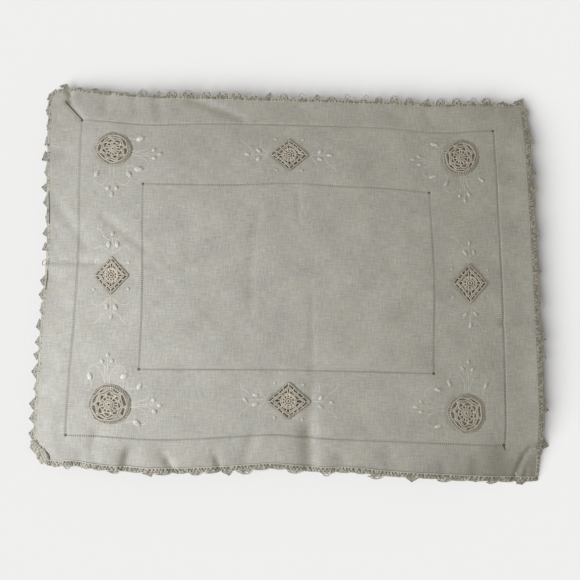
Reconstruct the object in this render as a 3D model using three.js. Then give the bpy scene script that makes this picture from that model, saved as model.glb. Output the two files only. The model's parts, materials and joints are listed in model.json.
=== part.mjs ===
// A small pillow sham of pale linen, lightly filled and lying on its back. Millimetres, +Z up.
// The origin is on the table under the middle; +X runs along the long side, +Y to the top edge.
// u and v are places on the flat linen, measured from its middle. The linen is cut square, but it lies
// a little out of true: lie() takes u, v to the lying x, y, and topHeight() gives the height there.
import * as THREE from 'three';

// Linen cover: half sizes along the sewn edge, heights of the seam and rise of the crown
const HALF_LENGTH = 203;
const HALF_WIDTH = 156;
const SEAM_HEIGHT = 16;
const CORNER_SEAM_HEIGHT = 8;
const CORNER_DROP_POWER = 6;
const CROWN_RISE = 12;
const CROWN_POWER = 4;
// From the seam inwards to where the back lies flat on the table
const UNDER_REACH = 60;
const UNDER_STEPS = [5, 14, 26, 42, UNDER_REACH];

// Drawn-thread lines: one inside the wide hem, one round the centre field
const HEM_LINE = { u: 174.5, v: 131.3 };
const FIELD_LINE = { u: 118.8, v: 76.8 };
const LINE_WIDTH = 2.4;
const LINE_DEPTH = 0.8;
const LINE_TOLERANCE = 0.1;

// Grid spacing on the linen: steps in from the seam, then even steps between the lines
const EDGE_STEPS = [0, 3, 8, 15, 23];
const BAND_STEPS = 5;
const FIELD_STEPS_U = 11;
const FIELD_STEPS_V = 7;

// How much further out the cloth lies where the crown runs down to the hem, most at the top
const SPREAD = 0.0356;
const SPREAD_FROM = -65;

// How the whole cover lies out of square
const DRAWN_IN_LONG = 3.9; // long sides pulled in at their middle
const DRAWN_IN_SHORT = 1.5; // short sides pulled in at their middle
const LEAN = 2.0; // both short sides bow towards +X
const LIFT = 1.5; // the middle lies nearer the top edge
const TAPER = 2.3; // top edge shorter than the bottom edge
const SKEW_X = 2.45;
const SKEW_Y = 3.85;

// Local tugs of the cloth: centre, reach and shift of each
const TUGS = [
  { u: -100, v: -140, reachU: 42, reachV: 45, du: 0, dv: -3.2 },
  { u: -172, v: -160, reachU: 16, reachV: 14, du: 0, dv: 2.6 },
  { u: -200, v: 147, reachU: 14, reachV: 9, du: -1.8, dv: 0 },
  { u: -176, v: -130, reachU: 14, reachV: 22, du: -1.3, dv: 0 },
  { u: -8, v: -150, reachU: 28, reachV: 45, du: 0, dv: 3.0 },
  { u: -118, v: 130, reachU: 38, reachV: 30, du: 0, dv: -3.2 },
  { u: -195, v: 156, reachU: 22, reachV: 18, du: 0, dv: 3.5 },
  { u: 128, v: 105, reachU: 36, reachV: 50, du: 0, dv: -5.5 },
  { u: 0, v: 76, reachU: 35, reachV: 40, du: 0, dv: 2.6 },
  { u: -117, v: 60, reachU: 40, reachV: 60, du: -2.5, dv: 0 },
  { u: -200, v: 25, reachU: 30, reachV: 45, du: 2.2, dv: 0 },
  { u: -165, v: -100, reachU: 40, reachV: 45, du: -2.0, dv: 0 },
  { u: 117, v: 70, reachU: 40, reachV: 40, du: -2.5, dv: 0 },
  { u: 117, v: -70, reachU: 40, reachV: 45, du: -2.0, dv: 0 },
];

// Corners: how far each is rounded back along its diagonal, or drawn out a little where it is negative
const CORNER_POWER = 16;
const CORNERS = [
  { u: -1, v: 1, pull: 3.0 },
  { u: 1, v: 1, pull: -0.5 },
  { u: 1, v: -1, pull: 0.8 },
  { u: -1, v: -1, pull: 5.0 },
];

// Soft folds: a trough from one place on the linen to another
const FOLDS = [
  { u0: -128, v0: -156, u1: -126, v1: -137, width: 7, depth: 3.4 },
  { u0: -90, v0: -156, u1: -94, v1: -139, width: 6, depth: 2.4 },
  { u0: -53, v0: -156, u1: -55, v1: -141, width: 6, depth: 2.4 },
  { u0: -31, v0: -149, u1: -25, v1: -130, width: 7, depth: 1.4 },
  { u0: 22, v0: -156, u1: 19, v1: -126, width: 8, depth: 4.0 },
  { u0: -155, v0: -147, u1: -151, v1: -129, width: 7, depth: 1.6 },
  { u0: 46, v0: -156, u1: 44, v1: -147, width: 7, depth: 1.4 },
  { u0: 85, v0: -156, u1: 82, v1: -140, width: 8, depth: 1.2 },
  { u0: 152, v0: -156, u1: 150, v1: -143, width: 7, depth: 1.4 },
  { u0: 178, v0: -156, u1: 176, v1: -136, width: 10, depth: 3.6 },
  { u0: 186, v0: -156, u1: 190, v1: -141, width: 7, depth: 3.6 },
  { u0: 191, v0: -139, u1: 203, v1: -131, width: 5, depth: 2.4 },
  { u0: -190, v0: 156, u1: -186, v1: 148, width: 5, depth: 2.6 },
  { u0: -187, v0: 146, u1: -175, v1: 132, width: 5, depth: 1.2 },
  { u0: -156, v0: 155, u1: -154, v1: 143, width: 6, depth: 1.4 },
  { u0: -132, v0: 155, u1: -130, v1: 147, width: 6, depth: 1.1 },
  { u0: -112, v0: 155, u1: -108, v1: 141, width: 7, depth: 1.5 },
  { u0: -82, v0: 154, u1: -43, v1: 139, width: 6, depth: 1.5 },
  { u0: -202, v0: 12, u1: -160, v1: 10, width: 6, depth: 1.2 },
  { u0: -203, v0: 0, u1: -194, v1: -2, width: 6, depth: 1.2 },
  { u0: -203, v0: -72, u1: -190, v1: -70, width: 6, depth: 1.2 },
  { u0: -203, v0: -96, u1: -191, v1: -100, width: 7, depth: 1.2 },
  { u0: -203, v0: 106, u1: -190, v1: 104, width: 7, depth: 1.1 },
  { u0: -195, v0: 59, u1: -171, v1: 29, width: 8, depth: 1.1 },
  { u0: -27, v0: 48, u1: -27, v1: -44, width: 10, depth: 0.8 },
  { u0: 202, v0: -31, u1: 175, v1: -36, width: 6, depth: 1.1 },
];

// Crochet insets in the band between the two lines: place on the linen and half sizes. Each was hooked by
// hand, so no two are quite the same size.
const INSET_THICKNESS = 1.3;
const INSET_GAP = 0.3;
const INSETS = [
  { name: 'rosette_nw', u: -145.9, v: 106.9, halfU: 15.7, halfV: 14.6 },
  { name: 'rosette_ne', u: 144.5, v: 108.7, halfU: 14.9, halfV: 15.4 },
  { name: 'rosette_se', u: 142.8, v: -107.0, halfU: 14.6, halfV: 15.2 },
  { name: 'rosette_sw', u: -140.4, v: -105.1, halfU: 16.5, halfV: 15.7 },
  { name: 'lozenge_n', u: -0.3, v: 102.7, halfU: 16.3, halfV: 14.8 },
  { name: 'lozenge_e', u: 147.5, v: -3.4, halfU: 14.4, halfV: 16.6 },
  { name: 'lozenge_s', u: 1.5, v: -102.1, halfU: 17.7, halfV: 15.6 },
  { name: 'lozenge_w', u: -144.7, v: -0.4, halfU: 14.9, halfV: 15.6 },
];
const ROSETTE_SECTORS = 20;
const LOZENGE_SECTORS = 24;
// Rows of the crochet from the middle out: share of the half size, relief of the top, open slots or not
const INSET_ROWS = [
  { reach: 0.22, rise: 0.6, slots: false },
  { reach: 0.6, rise: 0.3, slots: false },
  { reach: 0.76, rise: 0.3, slots: true },
  { reach: 1.0, rise: 0.5, slots: false },
];

// Crochet lace on the four edges, one strip a side, hanging by its own angle
const LACE_WIDTH = 8.2;
const LACE_THICKNESS = 1.4;
const LACE_GAP = 0.45;
const LACE_END_GAP = 0.25;
const LACE_CORNER_DROOP = 15;
const LACE_MITRE_REACH = 12;
const LACE_SIDES = [
  { name: 'lace_top', from: [-1, 1], to: [1, 1], scallops: 30, droop: 4 },
  { name: 'lace_right', from: [1, 1], to: [1, -1], scallops: 23, droop: 32 },
  { name: 'lace_bottom', from: [1, -1], to: [-1, -1], scallops: 30, droop: 36 },
  { name: 'lace_left', from: [-1, -1], to: [-1, 1], scallops: 23, droop: 14 },
];
// One scallop, in shares of its pitch along the edge and of the lace's width outwards
const SCALLOP_EDGE = [
  [0, 0], [0.33, 0], [0.67, 0], [1, 0], [1, 0.36],
  [0.79, 0.68], [0.58, 1], [0.42, 1], [0.21, 0.68], [0, 0.36],
];
const SCALLOP_GAP = [[0.5, 0.36], [0.34, 0.56], [0.5, 0.76], [0.66, 0.56]];

// Colours of the photographed cloth and thread
const LINEN_COLOUR = 0xc6c0b1;
const CROCHET_COLOUR = 0xb8ac94;
const LACE_COLOUR = 0xb5a98f;

const gauss = (distance) => Math.exp(-distance * distance);
const smooth = (t) => t * t * (3 - 2 * t);
const clamp01 = (t) => Math.min(1, Math.max(0, t));

// How far the cloth is from its edges: one over the middle, nothing at the seam
function crownShare(u, v) {
  const a = Math.min(1, Math.abs(u / HALF_LENGTH));
  const b = Math.min(1, Math.abs(v / HALF_WIDTH));
  return (1 - a ** CROWN_POWER) * (1 - b ** CROWN_POWER);
}

// Lying place of a point of the linen
function lie(u, v) {
  const a = u / HALF_LENGTH;
  const b = v / HALF_WIDTH;
  let x = u - TAPER * a * b + LEAN * (1 - b * b) - DRAWN_IN_SHORT * a * (1 - b * b) - SKEW_X * a * a * b;
  let y = v - DRAWN_IN_LONG * b * (1 - a * a) + LIFT * (1 - b * b) - SKEW_Y * a * b * b;
  const crown = crownShare(u, v);
  x += SPREAD * u * crown * (1 - crown);
  y += SPREAD * (v - SPREAD_FROM) * crown * (1 - crown);
  for (const tug of TUGS) {
    const pull = gauss((u - tug.u) / tug.reachU) * gauss((v - tug.v) / tug.reachV);
    x += tug.du * pull;
    y += tug.dv * pull;
  }
  const corner = CORNERS.find((c) => c.u * u >= 0 && c.v * v >= 0);
  const rounding = corner.pull * Math.abs(a * b) ** CORNER_POWER;
  return [x - corner.u * rounding, y - corner.v * rounding];
}

// Depth of the folds at a place on the linen
function foldDepth(u, v) {
  let depth = 0;
  for (const fold of FOLDS) {
    const runU = fold.u1 - fold.u0;
    const runV = fold.v1 - fold.v0;
    const along = ((u - fold.u0) * runU + (v - fold.v0) * runV) / (runU * runU + runV * runV);
    const t = clamp01(along);
    const distance = Math.hypot(u - fold.u0 - t * runU, v - fold.v0 - t * runV);
    depth += fold.depth * gauss(distance / fold.width);
  }
  return depth;
}

// Height of the seam above the table, lower towards the corners
function seamHeight(u, v) {
  const corner = Math.abs((u / HALF_LENGTH) * (v / HALF_WIDTH)) ** CORNER_DROP_POWER;
  return SEAM_HEIGHT - (SEAM_HEIGHT - CORNER_SEAM_HEIGHT) * corner - foldDepth(u, v);
}

// Whether a grid point is on the middle of a drawn-thread line
function onLine(u, v, line) {
  const offSide = Math.abs(Math.abs(u) - line.u);
  const offEnd = Math.abs(Math.abs(v) - line.v);
  const onSide = offSide < LINE_TOLERANCE && Math.abs(v) < line.v + LINE_TOLERANCE;
  const onEnd = offEnd < LINE_TOLERANCE && Math.abs(u) < line.u + LINE_TOLERANCE;
  return onSide || onEnd;
}

// Height of the upper face
function topHeight(u, v) {
  return seamHeight(u, v) + CROWN_RISE * crownShare(u, v) ** 2;
}

// Points and outward triangles of one solid
class Solid {
  constructor() {
    this.points = [];
    this.triangles = [];
  }

  point(x, y, z) {
    this.points.push(x, y, z);
    return this.points.length / 3 - 1;
  }

  quad(a, b, c, d) {
    this.triangles.push(a, b, c, a, c, d);
  }

  mesh(name, material) {
    const geometry = new THREE.BufferGeometry();
    geometry.setAttribute('position', new THREE.Float32BufferAttribute(this.points, 3));
    geometry.setIndex(this.triangles);
    geometry.computeVertexNormals();
    const mesh = new THREE.Mesh(geometry, material);
    mesh.name = name;
    return mesh;
  }
}

// Closes a net of counter-clockwise triangles into a sheet: an upper and a lower copy of the net, and a
// wall along every edge that only one triangle has. place(i, face) gives point i on face 1 or 0.
function sheetSolid(count, faces, place) {
  const solid = new Solid();
  const upper = [];
  const lower = [];
  for (let i = 0; i < count; i += 1) {
    upper.push(solid.point(...place(i, 1)));
    lower.push(solid.point(...place(i, 0)));
  }
  const edges = new Set();
  for (const [a, b, c] of faces) {
    solid.triangles.push(upper[a], upper[b], upper[c], lower[a], lower[c], lower[b]);
    for (const [from, to] of [[a, b], [b, c], [c, a]]) {
      edges.add(`${from},${to}`);
    }
  }
  for (const edge of edges) {
    const [from, to] = edge.split(',').map(Number);
    if (!edges.has(`${to},${from}`)) {
      solid.quad(lower[from], lower[to], upper[to], upper[from]);
    }
  }
  return solid;
}

// Grid places along one direction, from the seam to the middle and on to the other seam
function gridPlaces(half, hem, field, fieldSteps) {
  const places = EDGE_STEPS.map((step) => half - step);
  for (const line of [hem, field]) {
    places.push(line + LINE_WIDTH / 2, line, line - LINE_WIDTH / 2);
    const inner = line === hem ? field + LINE_WIDTH / 2 : 0;
    const steps = line === hem ? BAND_STEPS : fieldSteps;
    const outer = line - LINE_WIDTH / 2;
    for (let i = 1; i < steps; i += 1) {
      places.push(outer + ((inner - outer) * i) / steps);
    }
  }
  const other = places.map((place) => -place);
  return [...other, 0, ...places.reverse()];
}

// Linen cover: the crowned front with its two drawn-thread lines, and the back that curves in under the
// seam and lies flat on the table
function linenCover(material) {
  const solid = new Solid();
  const us = gridPlaces(HALF_LENGTH, HEM_LINE.u, FIELD_LINE.u, FIELD_STEPS_U);
  const vs = gridPlaces(HALF_WIDTH, HEM_LINE.v, FIELD_LINE.v, FIELD_STEPS_V);
  const front = vs.map((v) => us.map((u) => {
    const [x, y] = lie(u, v);
    const drawn = onLine(u, v, HEM_LINE) || onLine(u, v, FIELD_LINE);
    return solid.point(x, y, topHeight(u, v) - (drawn ? LINE_DEPTH : 0));
  }));
  for (let j = 0; j + 1 < vs.length; j += 1) {
    for (let i = 0; i + 1 < us.length; i += 1) {
      solid.quad(front[j][i], front[j][i + 1], front[j + 1][i + 1], front[j + 1][i]);
    }
  }
  // The seam, counter-clockwise seen from above
  const last = { i: us.length - 1, j: vs.length - 1 };
  const seam = [];
  for (let i = 0; i < last.i; i += 1) seam.push([i, 0]);
  for (let j = 0; j < last.j; j += 1) seam.push([last.i, j]);
  for (let i = last.i; i > 0; i -= 1) seam.push([i, last.j]);
  for (let j = last.j; j > 0; j -= 1) seam.push([0, j]);
  let ring = seam.map(([i, j]) => front[j][i]);
  for (const step of UNDER_STEPS) {
    const rise = (1 - step / UNDER_REACH) ** 2;
    const next = seam.map(([i, j]) => {
      const [x, y] = lie(us[i] * (1 - step / HALF_LENGTH), vs[j] * (1 - step / HALF_WIDTH));
      return solid.point(x, y, seamHeight(us[i], vs[j]) * rise);
    });
    for (let k = 0; k < seam.length; k += 1) {
      const after = (k + 1) % seam.length;
      solid.quad(ring[k], next[k], next[after], ring[after]);
    }
    ring = next;
  }
  const flat = ring.map((k) => new THREE.Vector2(solid.points[3 * k], solid.points[3 * k + 1]));
  for (const [a, b, c] of THREE.ShapeUtils.triangulateShape(flat, [])) {
    solid.triangles.push(ring[a], ring[c], ring[b]);
  }
  return solid.mesh('linen_cover', material);
}

// Crochet inset: rows of crochet round a middle, one row cut into open slots, bent to the linen's crown
function crochetInset(inset, material) {
  const round = inset.name.startsWith('rosette');
  const sectors = round ? ROSETTE_SECTORS : LOZENGE_SECTORS;
  const net = [{ du: 0, dv: 0, rise: INSET_ROWS[0].rise }];
  for (const row of INSET_ROWS) {
    for (let j = 0; j < sectors; j += 1) {
      const angle = (2 * Math.PI * j) / sectors;
      const spread = round ? 1 : 1 / (Math.abs(Math.cos(angle)) + Math.abs(Math.sin(angle)));
      const du = row.reach * spread * inset.halfU * Math.cos(angle);
      const dv = row.reach * spread * inset.halfV * Math.sin(angle);
      net.push({ du, dv, rise: row.rise });
    }
  }
  const faces = [];
  for (let j = 0; j < sectors; j += 1) {
    const after = (j + 1) % sectors;
    faces.push([0, 1 + j, 1 + after]);
    for (let i = 1; i < INSET_ROWS.length; i += 1) {
      const inner = 1 + (i - 1) * sectors;
      const outer = inner + sectors;
      if (!INSET_ROWS[i].slots || j % 2 === 0) {
        faces.push([inner + j, outer + j, outer + after], [inner + j, outer + after, inner + after]);
      }
    }
  }
  const place = (k, face) => {
    const u = inset.u + net[k].du;
    const v = inset.v + net[k].dv;
    const lift = INSET_GAP + face * (INSET_THICKNESS + net[k].rise);
    return [...lie(u, v), topHeight(u, v) + lift];
  };
  return sheetSolid(net.length, faces, place).mesh(inset.name, material);
}

// A place on one side's lace: share of the side, share of the width outwards, and face
function lacePlace(side, along, out, face) {
  const u = HALF_LENGTH * (side.from[0] + (side.to[0] - side.from[0]) * along);
  const v = HALF_WIDTH * (side.from[1] + (side.to[1] - side.from[1]) * along);
  const [x, y] = lie(u, v);
  const middle = [side.from[0] + side.to[0], side.from[1] + side.to[1]];
  const corner = along < 0.5 ? side.from : side.to;
  const toCorner = Math.min(along, 1 - along) * 2 * (middle[0] === 0 ? HALF_LENGTH : HALF_WIDTH);
  const mitre = 1 - smooth(clamp01(toCorner / LACE_MITRE_REACH));
  const outward = new THREE.Vector2(middle[0] / 2, middle[1] / 2);
  outward.lerp(new THREE.Vector2(corner[0], corner[1]).normalize(), mitre).normalize();
  const droop = THREE.MathUtils.degToRad(side.droop + (LACE_CORNER_DROOP - side.droop) * mitre);
  const half = LACE_THICKNESS / 2;
  const reach = LACE_GAP + half * Math.sin(droop) + out * LACE_WIDTH * Math.cos(droop);
  const lift = face ? half : -half;
  const plan = reach + lift * Math.sin(droop);
  const z = seamHeight(u, v) - out * LACE_WIDTH * Math.sin(droop) + lift * Math.cos(droop);
  return [x + outward.x * plan, y + outward.y * plan, z];
}

// Crochet lace along one side: a plain heading and a row of open scallops
function laceStrip(side, material) {
  const edge = SCALLOP_EDGE.map(([s, w]) => new THREE.Vector2(s, w));
  const gap = SCALLOP_GAP.map(([s, w]) => new THREE.Vector2(s, w));
  const cellFaces = THREE.ShapeUtils.triangulateShape(edge, [gap]);
  const cell = [...edge, ...gap];
  const length = 2 * (side.from[0] === side.to[0] ? HALF_WIDTH : HALF_LENGTH);
  const end = LACE_END_GAP / length;
  const net = [];
  const known = new Map();
  const faces = [];
  for (let k = 0; k < side.scallops; k += 1) {
    const index = cell.map((p) => {
      const along = (k + p.x) / side.scallops;
      const key = `${along.toFixed(6)},${p.y}`;
      if (!known.has(key)) {
        known.set(key, net.length);
        net.push({ along: end + along * (1 - 2 * end), out: p.y });
      }
      return known.get(key);
    });
    faces.push(...cellFaces.map((face) => face.map((i) => index[i])));
  }
  const place = (k, face) => lacePlace(side, net[k].along, net[k].out, face);
  return sheetSolid(net.length, faces, place).mesh(side.name, material);
}

function cloth(color) {
  return new THREE.MeshStandardMaterial({ color, roughness: 0.92, metalness: 0 });
}

const sham = new THREE.Group();
sham.add(linenCover(cloth(LINEN_COLOUR)));
for (const inset of INSETS) sham.add(crochetInset(inset, cloth(CROCHET_COLOUR)));
for (const side of LACE_SIDES) sham.add(laceStrip(side, cloth(LACE_COLOUR)));

export default sham;
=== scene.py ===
import bpy
import json
import math
import numpy as np
from mathutils import Matrix, Vector

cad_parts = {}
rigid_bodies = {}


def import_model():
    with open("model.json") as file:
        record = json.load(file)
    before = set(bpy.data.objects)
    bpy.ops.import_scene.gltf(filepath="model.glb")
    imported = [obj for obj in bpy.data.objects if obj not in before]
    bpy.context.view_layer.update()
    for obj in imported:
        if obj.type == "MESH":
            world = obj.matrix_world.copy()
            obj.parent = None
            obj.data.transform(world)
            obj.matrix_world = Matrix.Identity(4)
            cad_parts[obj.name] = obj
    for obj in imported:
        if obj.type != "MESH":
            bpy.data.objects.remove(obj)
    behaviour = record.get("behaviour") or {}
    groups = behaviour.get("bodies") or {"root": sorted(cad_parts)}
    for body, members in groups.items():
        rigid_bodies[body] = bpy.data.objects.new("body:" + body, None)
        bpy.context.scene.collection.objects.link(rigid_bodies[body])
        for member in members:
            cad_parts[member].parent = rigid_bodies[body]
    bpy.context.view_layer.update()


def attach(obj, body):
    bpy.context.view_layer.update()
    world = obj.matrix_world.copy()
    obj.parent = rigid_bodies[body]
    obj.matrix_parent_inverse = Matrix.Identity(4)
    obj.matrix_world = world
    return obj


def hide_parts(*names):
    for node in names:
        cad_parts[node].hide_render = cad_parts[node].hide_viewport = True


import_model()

# Linen cover
# Front and back of washed plain-weave linen, sewn together along the edge over a thin soft pad. The front
# has a wide turned hem, two lines of drawn threads, and eight cut-out openings for the crochet insets.
MM = 0.001
HALF_LENGTH, HALF_WIDTH = 203.0, 156.0
SEAM_HEIGHT, CORNER_SEAM_HEIGHT, CORNER_DROP_POWER = 16.0, 8.0, 6
CROWN_RISE, CROWN_POWER = 12.0, 4
UNDER_REACH = 60.0
HEM_LINE = (174.5, 131.3)
FIELD_LINE = (118.8, 76.8)
GROOVE_HALF, GROOVE_HALF_LEVEL, CORNER_HOLE = 0.50, 0.42, 0.75
GROOVE_DEPTH, HEM_STEP = 0.6, 0.35
DRAWN_IN_LONG, DRAWN_IN_SHORT = 3.9, 1.5
LEAN, LIFT, TAPER, SKEW_X, SKEW_Y = 2.0, 1.5, 2.3, 2.45, 3.85
# How much further out the cloth lies where the crown runs down to the hem, most at the top
SPREAD, SPREAD_FROM = 0.0356, -65.0
# Local tugs of the cloth: u, v, reach along u, reach along v, shift along x, shift along y
TUGS = [
    (-100, -140, 42, 45, 0, -3.2), (-172, -160, 16, 14, 0, 2.6), (-8, -150, 28, 45, 0, 3.0),
    (-118, 130, 38, 30, 0, -3.2), (-195, 156, 22, 18, 0, 3.5), (128, 105, 36, 50, 0, -5.5),
    (0, 76, 35, 40, 0, 2.6), (-117, 60, 40, 60, -2.5, 0), (-200, 25, 30, 45, 2.2, 0),
    (-165, -100, 40, 45, -2.0, 0), (117, 70, 40, 40, -2.5, 0), (117, -70, 40, 45, -2.0, 0),
    (-200, 147, 14, 9, -1.8, 0), (-176, -130, 14, 22, -1.3, 0), (52, -156, 22, 14, 0, 2.1),
]
# How far each corner is rounded back along its diagonal
CORNER_POWER = 16
CORNER_PULL = {(-1, 1): 3.0, (1, 1): -0.5, (1, -1): 0.8, (-1, -1): 5.0}
# Soft folds and creases: u, v of each place along one, its width to the left and to the right, and its depth,
# which is less than 0 for a ridge
FOLDS = [
    # Puckers at the left of the bottom hem, and the swelling between two of them
    (-129.2, -158, -126, -146, 3.6, 9, 3.0), (-126.6, -150, -123.5, -140, 5, 9, 1.3),
    (-88.5, -158, -93, -148, 3.8, 2.4, 2.1), (-92, -152, -96.5, -142.5, 4.2, 3.2, 1.3),
    (-51, -158, -53.4, -150, 3, 2.2, 2.0), (-52.5, -153, -56, -143, 4, 3.5, 1.2),
    (-110.5, -141, -107, -156, 7, 6, -0.8), (-31, -149, -25, -130, 6, 6, 1.5),
    # The deep pucker at its middle, then the slighter ones
    (22, -158, 19, -126, 8, 5, 4.2), (19, -126, 20, -92, 5, 5, 1.3), (-155, -147, -151, -129, 4, 6, 1.7),
    (-166, -158, -163, -146, 5, 5, 1.2), (46, -158, 44, -147, 6, 6, 1.5), (85, -158, 82, -141, 7, 7, 1.3),
    (126, -158, 124, -148, 3, 5, 0.8), (152, -158, 150, -143, 4, 7, 1.3),
    # The lower right corner sinks and folds over, the lower left one swells
    (176, -158, 175, -138, 13, 10, 2.8), (206, -160, 205, -148, 34, 34, 6.0),
    (-186, -146, -188, -118, 7, 7, -1.2),
    (185, -157, 188.5, -146, 192, -138.5, 197, -133, 204, -131.5, 3.0, 2.0, 2.5),
    (193, -157, 194, -150, 2.0, 2.0, 1.0),
    # The upper left corner and the top hem
    (-191, 158, -186.3, 152, -186.5, 147, 2.4, 2.4, 2.6), (-187, 146, -175, 132, 3, 3, 1.0),
    (-156, 157, -154, 143, 4.5, 4.5, 0.9), (-132, 157, -130, 147, 4.5, 4.5, 0.6),
    (-112, 157, -108, 141, 5, 5, 1.0), (-82, 156, -62, 147, -40, 137, 4.5, 5.5, 1.5),
    (60, 157, 62, 144, 7, 7, 0.7), (118, 157, 120, 146, 7, 7, 0.8),
    # The left hem and the band beside it
    (-202, 12, -160, 10, 4, 2.4, 1.6), (-160, 10, -110, 8, 2.5, 2.5, 0.6), (-204, 0, -194, -2, 5, 5, 1.4),
    (-204, -72, -190, -70, 5, 5, 1.3), (-204, -96, -191, -100, 6, 6, 1.3), (-204, 106, -190, 104, 6, 6, 1.2),
    (-195, 59, -171, 29, 6, 6, 1.2), (-153, 49, -117, 22, 3.5, 3.5, 0.9),
    # Slight creases of the field
    (-24.5, 57, -28, 36, -31, 8, -30, -30, 3.2, 4.5, 0.55), (7, 68, 8, 44, 2.2, 2.5, 0.55),
    (19, -15, 20, -76, 3, 3, 0.6), (32, -5, 124, -6, 2.5, 2.5, 0.4), (-82, 47, -81, 17, 7, 7, 0.7),
    # The right hem, with a ridge along its edge
    (202, -31, 174, -36, 2.2, 4, 1.6), (203, 130, 203, -120, 9, 9, -1.0), (201, 60, 176, 58, 7, 7, 0.9),
    (201, 110, 178, 108, 8, 8, 0.8), (201, -90, 180, -92, 7, 7, 0.8),
]
# Openings that hold the crochet: u, v and the half sizes along u and v
ROSETTES = {
    "nw": (-145.9, 106.9, 15.7, 14.6), "ne": (144.5, 108.7, 14.9, 15.4),
    "se": (142.8, -107.0, 14.6, 15.2), "sw": (-140.4, -105.1, 16.5, 15.7),
}
LOZENGES = {
    "n": (-0.3, 102.7, 16.3, 14.8), "e": (147.5, -3.4, 14.4, 16.6),
    "s": (1.5, -102.1, 17.7, 15.6), "w": (-144.7, -0.4, 14.9, 15.6),
}
# How deep the openings are cut, and how much painted shade darkens them under the rosettes and the lozenges
OPENING_DEPTH, ROSETTE_SHADE, LOZENGE_SHADE = 1.0, 0.03, 0.62
# Painted shade on the lower right corner, which sinks and turns from the light: how much, its place u, v and
# its reach along u and v
CORNER_SHADE, CORNER_SHADE_PLACE, CORNER_SHADE_REACH = 0.33, (182, -153), (72, 19)
# The mitre of one hem corner has come open, and a little of the opposite one: from u, v to u, v, half width
OPEN_MITRES = [(-175, 132.2, -189.4, 145.8, 1.15), (173.3, -130.4, 175.4, -134.2, 0.9)]


def gauss(t):
    return np.exp(-t * t)


def smooth(low, high, t):
    s = np.clip((t - low) / (high - low), 0, 1)
    return s * s * (3 - 2 * s)


def unit(vectors):
    return vectors / np.linalg.norm(vectors, axis=-1, keepdims=True)


def crown(u, v):
    """How far a place is from the edges: 1 over the middle of the cover, 0 at its seam."""
    a, b = np.minimum(1, np.abs(u / HALF_LENGTH)), np.minimum(1, np.abs(v / HALF_WIDTH))
    return (1 - a**CROWN_POWER) * (1 - b**CROWN_POWER)


def lie(u, v):
    """Lying x, y of places u, v on the flat linen, in millimetres from its middle."""
    a, b = u / HALF_LENGTH, v / HALF_WIDTH
    x = u - TAPER * a * b + (LEAN - DRAWN_IN_SHORT * a) * (1 - b * b) - SKEW_X * a * a * b
    y = v - DRAWN_IN_LONG * b * (1 - a * a) + LIFT * (1 - b * b) - SKEW_Y * a * b * b
    spread = SPREAD * crown(u, v) * (1 - crown(u, v))
    x = x + u * spread
    y = y + (v - SPREAD_FROM) * spread
    for tug_u, tug_v, reach_u, reach_v, du, dv in TUGS:
        pull = gauss((u - tug_u) / reach_u) * gauss((v - tug_v) / reach_v)
        x = x + du * pull
        y = y + dv * pull
    for (side_u, side_v), pull in CORNER_PULL.items():
        here = (np.sign(u) == side_u) & (np.sign(v) == side_v)
        rounding = np.where(here, pull * np.abs(a * b) ** CORNER_POWER, 0)
        x = x - side_u * rounding
        y = y - side_v * rounding
    return x, y


def from_line(u, v, u0, v0, u1, v1):
    """Distance of places on the flat linen from a line, and how far they lie to its right."""
    run_u, run_v = u1 - u0, v1 - v0
    t = np.clip(((u - u0) * run_u + (v - v0) * run_v) / (run_u**2 + run_v**2), 0, 1)
    off = np.hypot(u - u0 - t * run_u, v - v0 - t * run_v)
    to_the_right = ((u - u0) * run_v - (v - v0) * run_u) / math.hypot(run_u, run_v)
    return off, to_the_right


def fold_depth(u, v):
    """How far the folds and creases lower the linen."""
    depth = 0 * u
    for *line, left, right, deep in FOLDS:
        apart = 9 + 0 * u
        for u0, v0, u1, v1 in zip(line[0::2], line[1::2], line[2::2], line[3::2]):
            off, to_the_right = from_line(u, v, u0, v0, u1, v1)
            share = np.clip(0.5 + 0.5 * to_the_right / np.maximum(off, 0.01), 0, 1)
            apart = np.minimum(apart, off / (left + (right - left) * share))
        depth = depth + deep * gauss(apart)
    return depth


def seam_height(u, v):
    """Height of the cover's edge over the table, lower at the corners and in the folds."""
    corner = np.abs(u / HALF_LENGTH * v / HALF_WIDTH) ** CORNER_DROP_POWER
    return SEAM_HEIGHT - (SEAM_HEIGHT - CORNER_SEAM_HEIGHT) * corner - fold_depth(u, v)


def unevenness(u, v, seed=7, waves=26, rise=0.0012):
    """Slight waviness of washed linen: long low waves in chance directions."""
    chance = np.random.default_rng(seed)
    total = 0 * u
    for _ in range(waves):
        turn, length = chance.uniform(0, math.pi), chance.uniform(14, 60)
        phase = chance.uniform(0, 2 * math.pi)
        along = u * math.cos(turn) + v * math.sin(turn)
        total = total + rise * length * np.sin(2 * math.pi * along / length + phase)
    return total


def cloth_height(u, v):
    """Height of the front without its openings and drawn threads."""
    rise = crown(u, v) ** 2
    hem = smooth(0.9, 1.5, np.maximum(np.abs(u) - HEM_LINE[0], np.abs(v) - HEM_LINE[1]))
    detail = HEM_STEP * hem + unevenness(u, v)
    return seam_height(u, v) + CROWN_RISE * rise + detail * np.minimum(1, 4 * rise)


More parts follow.
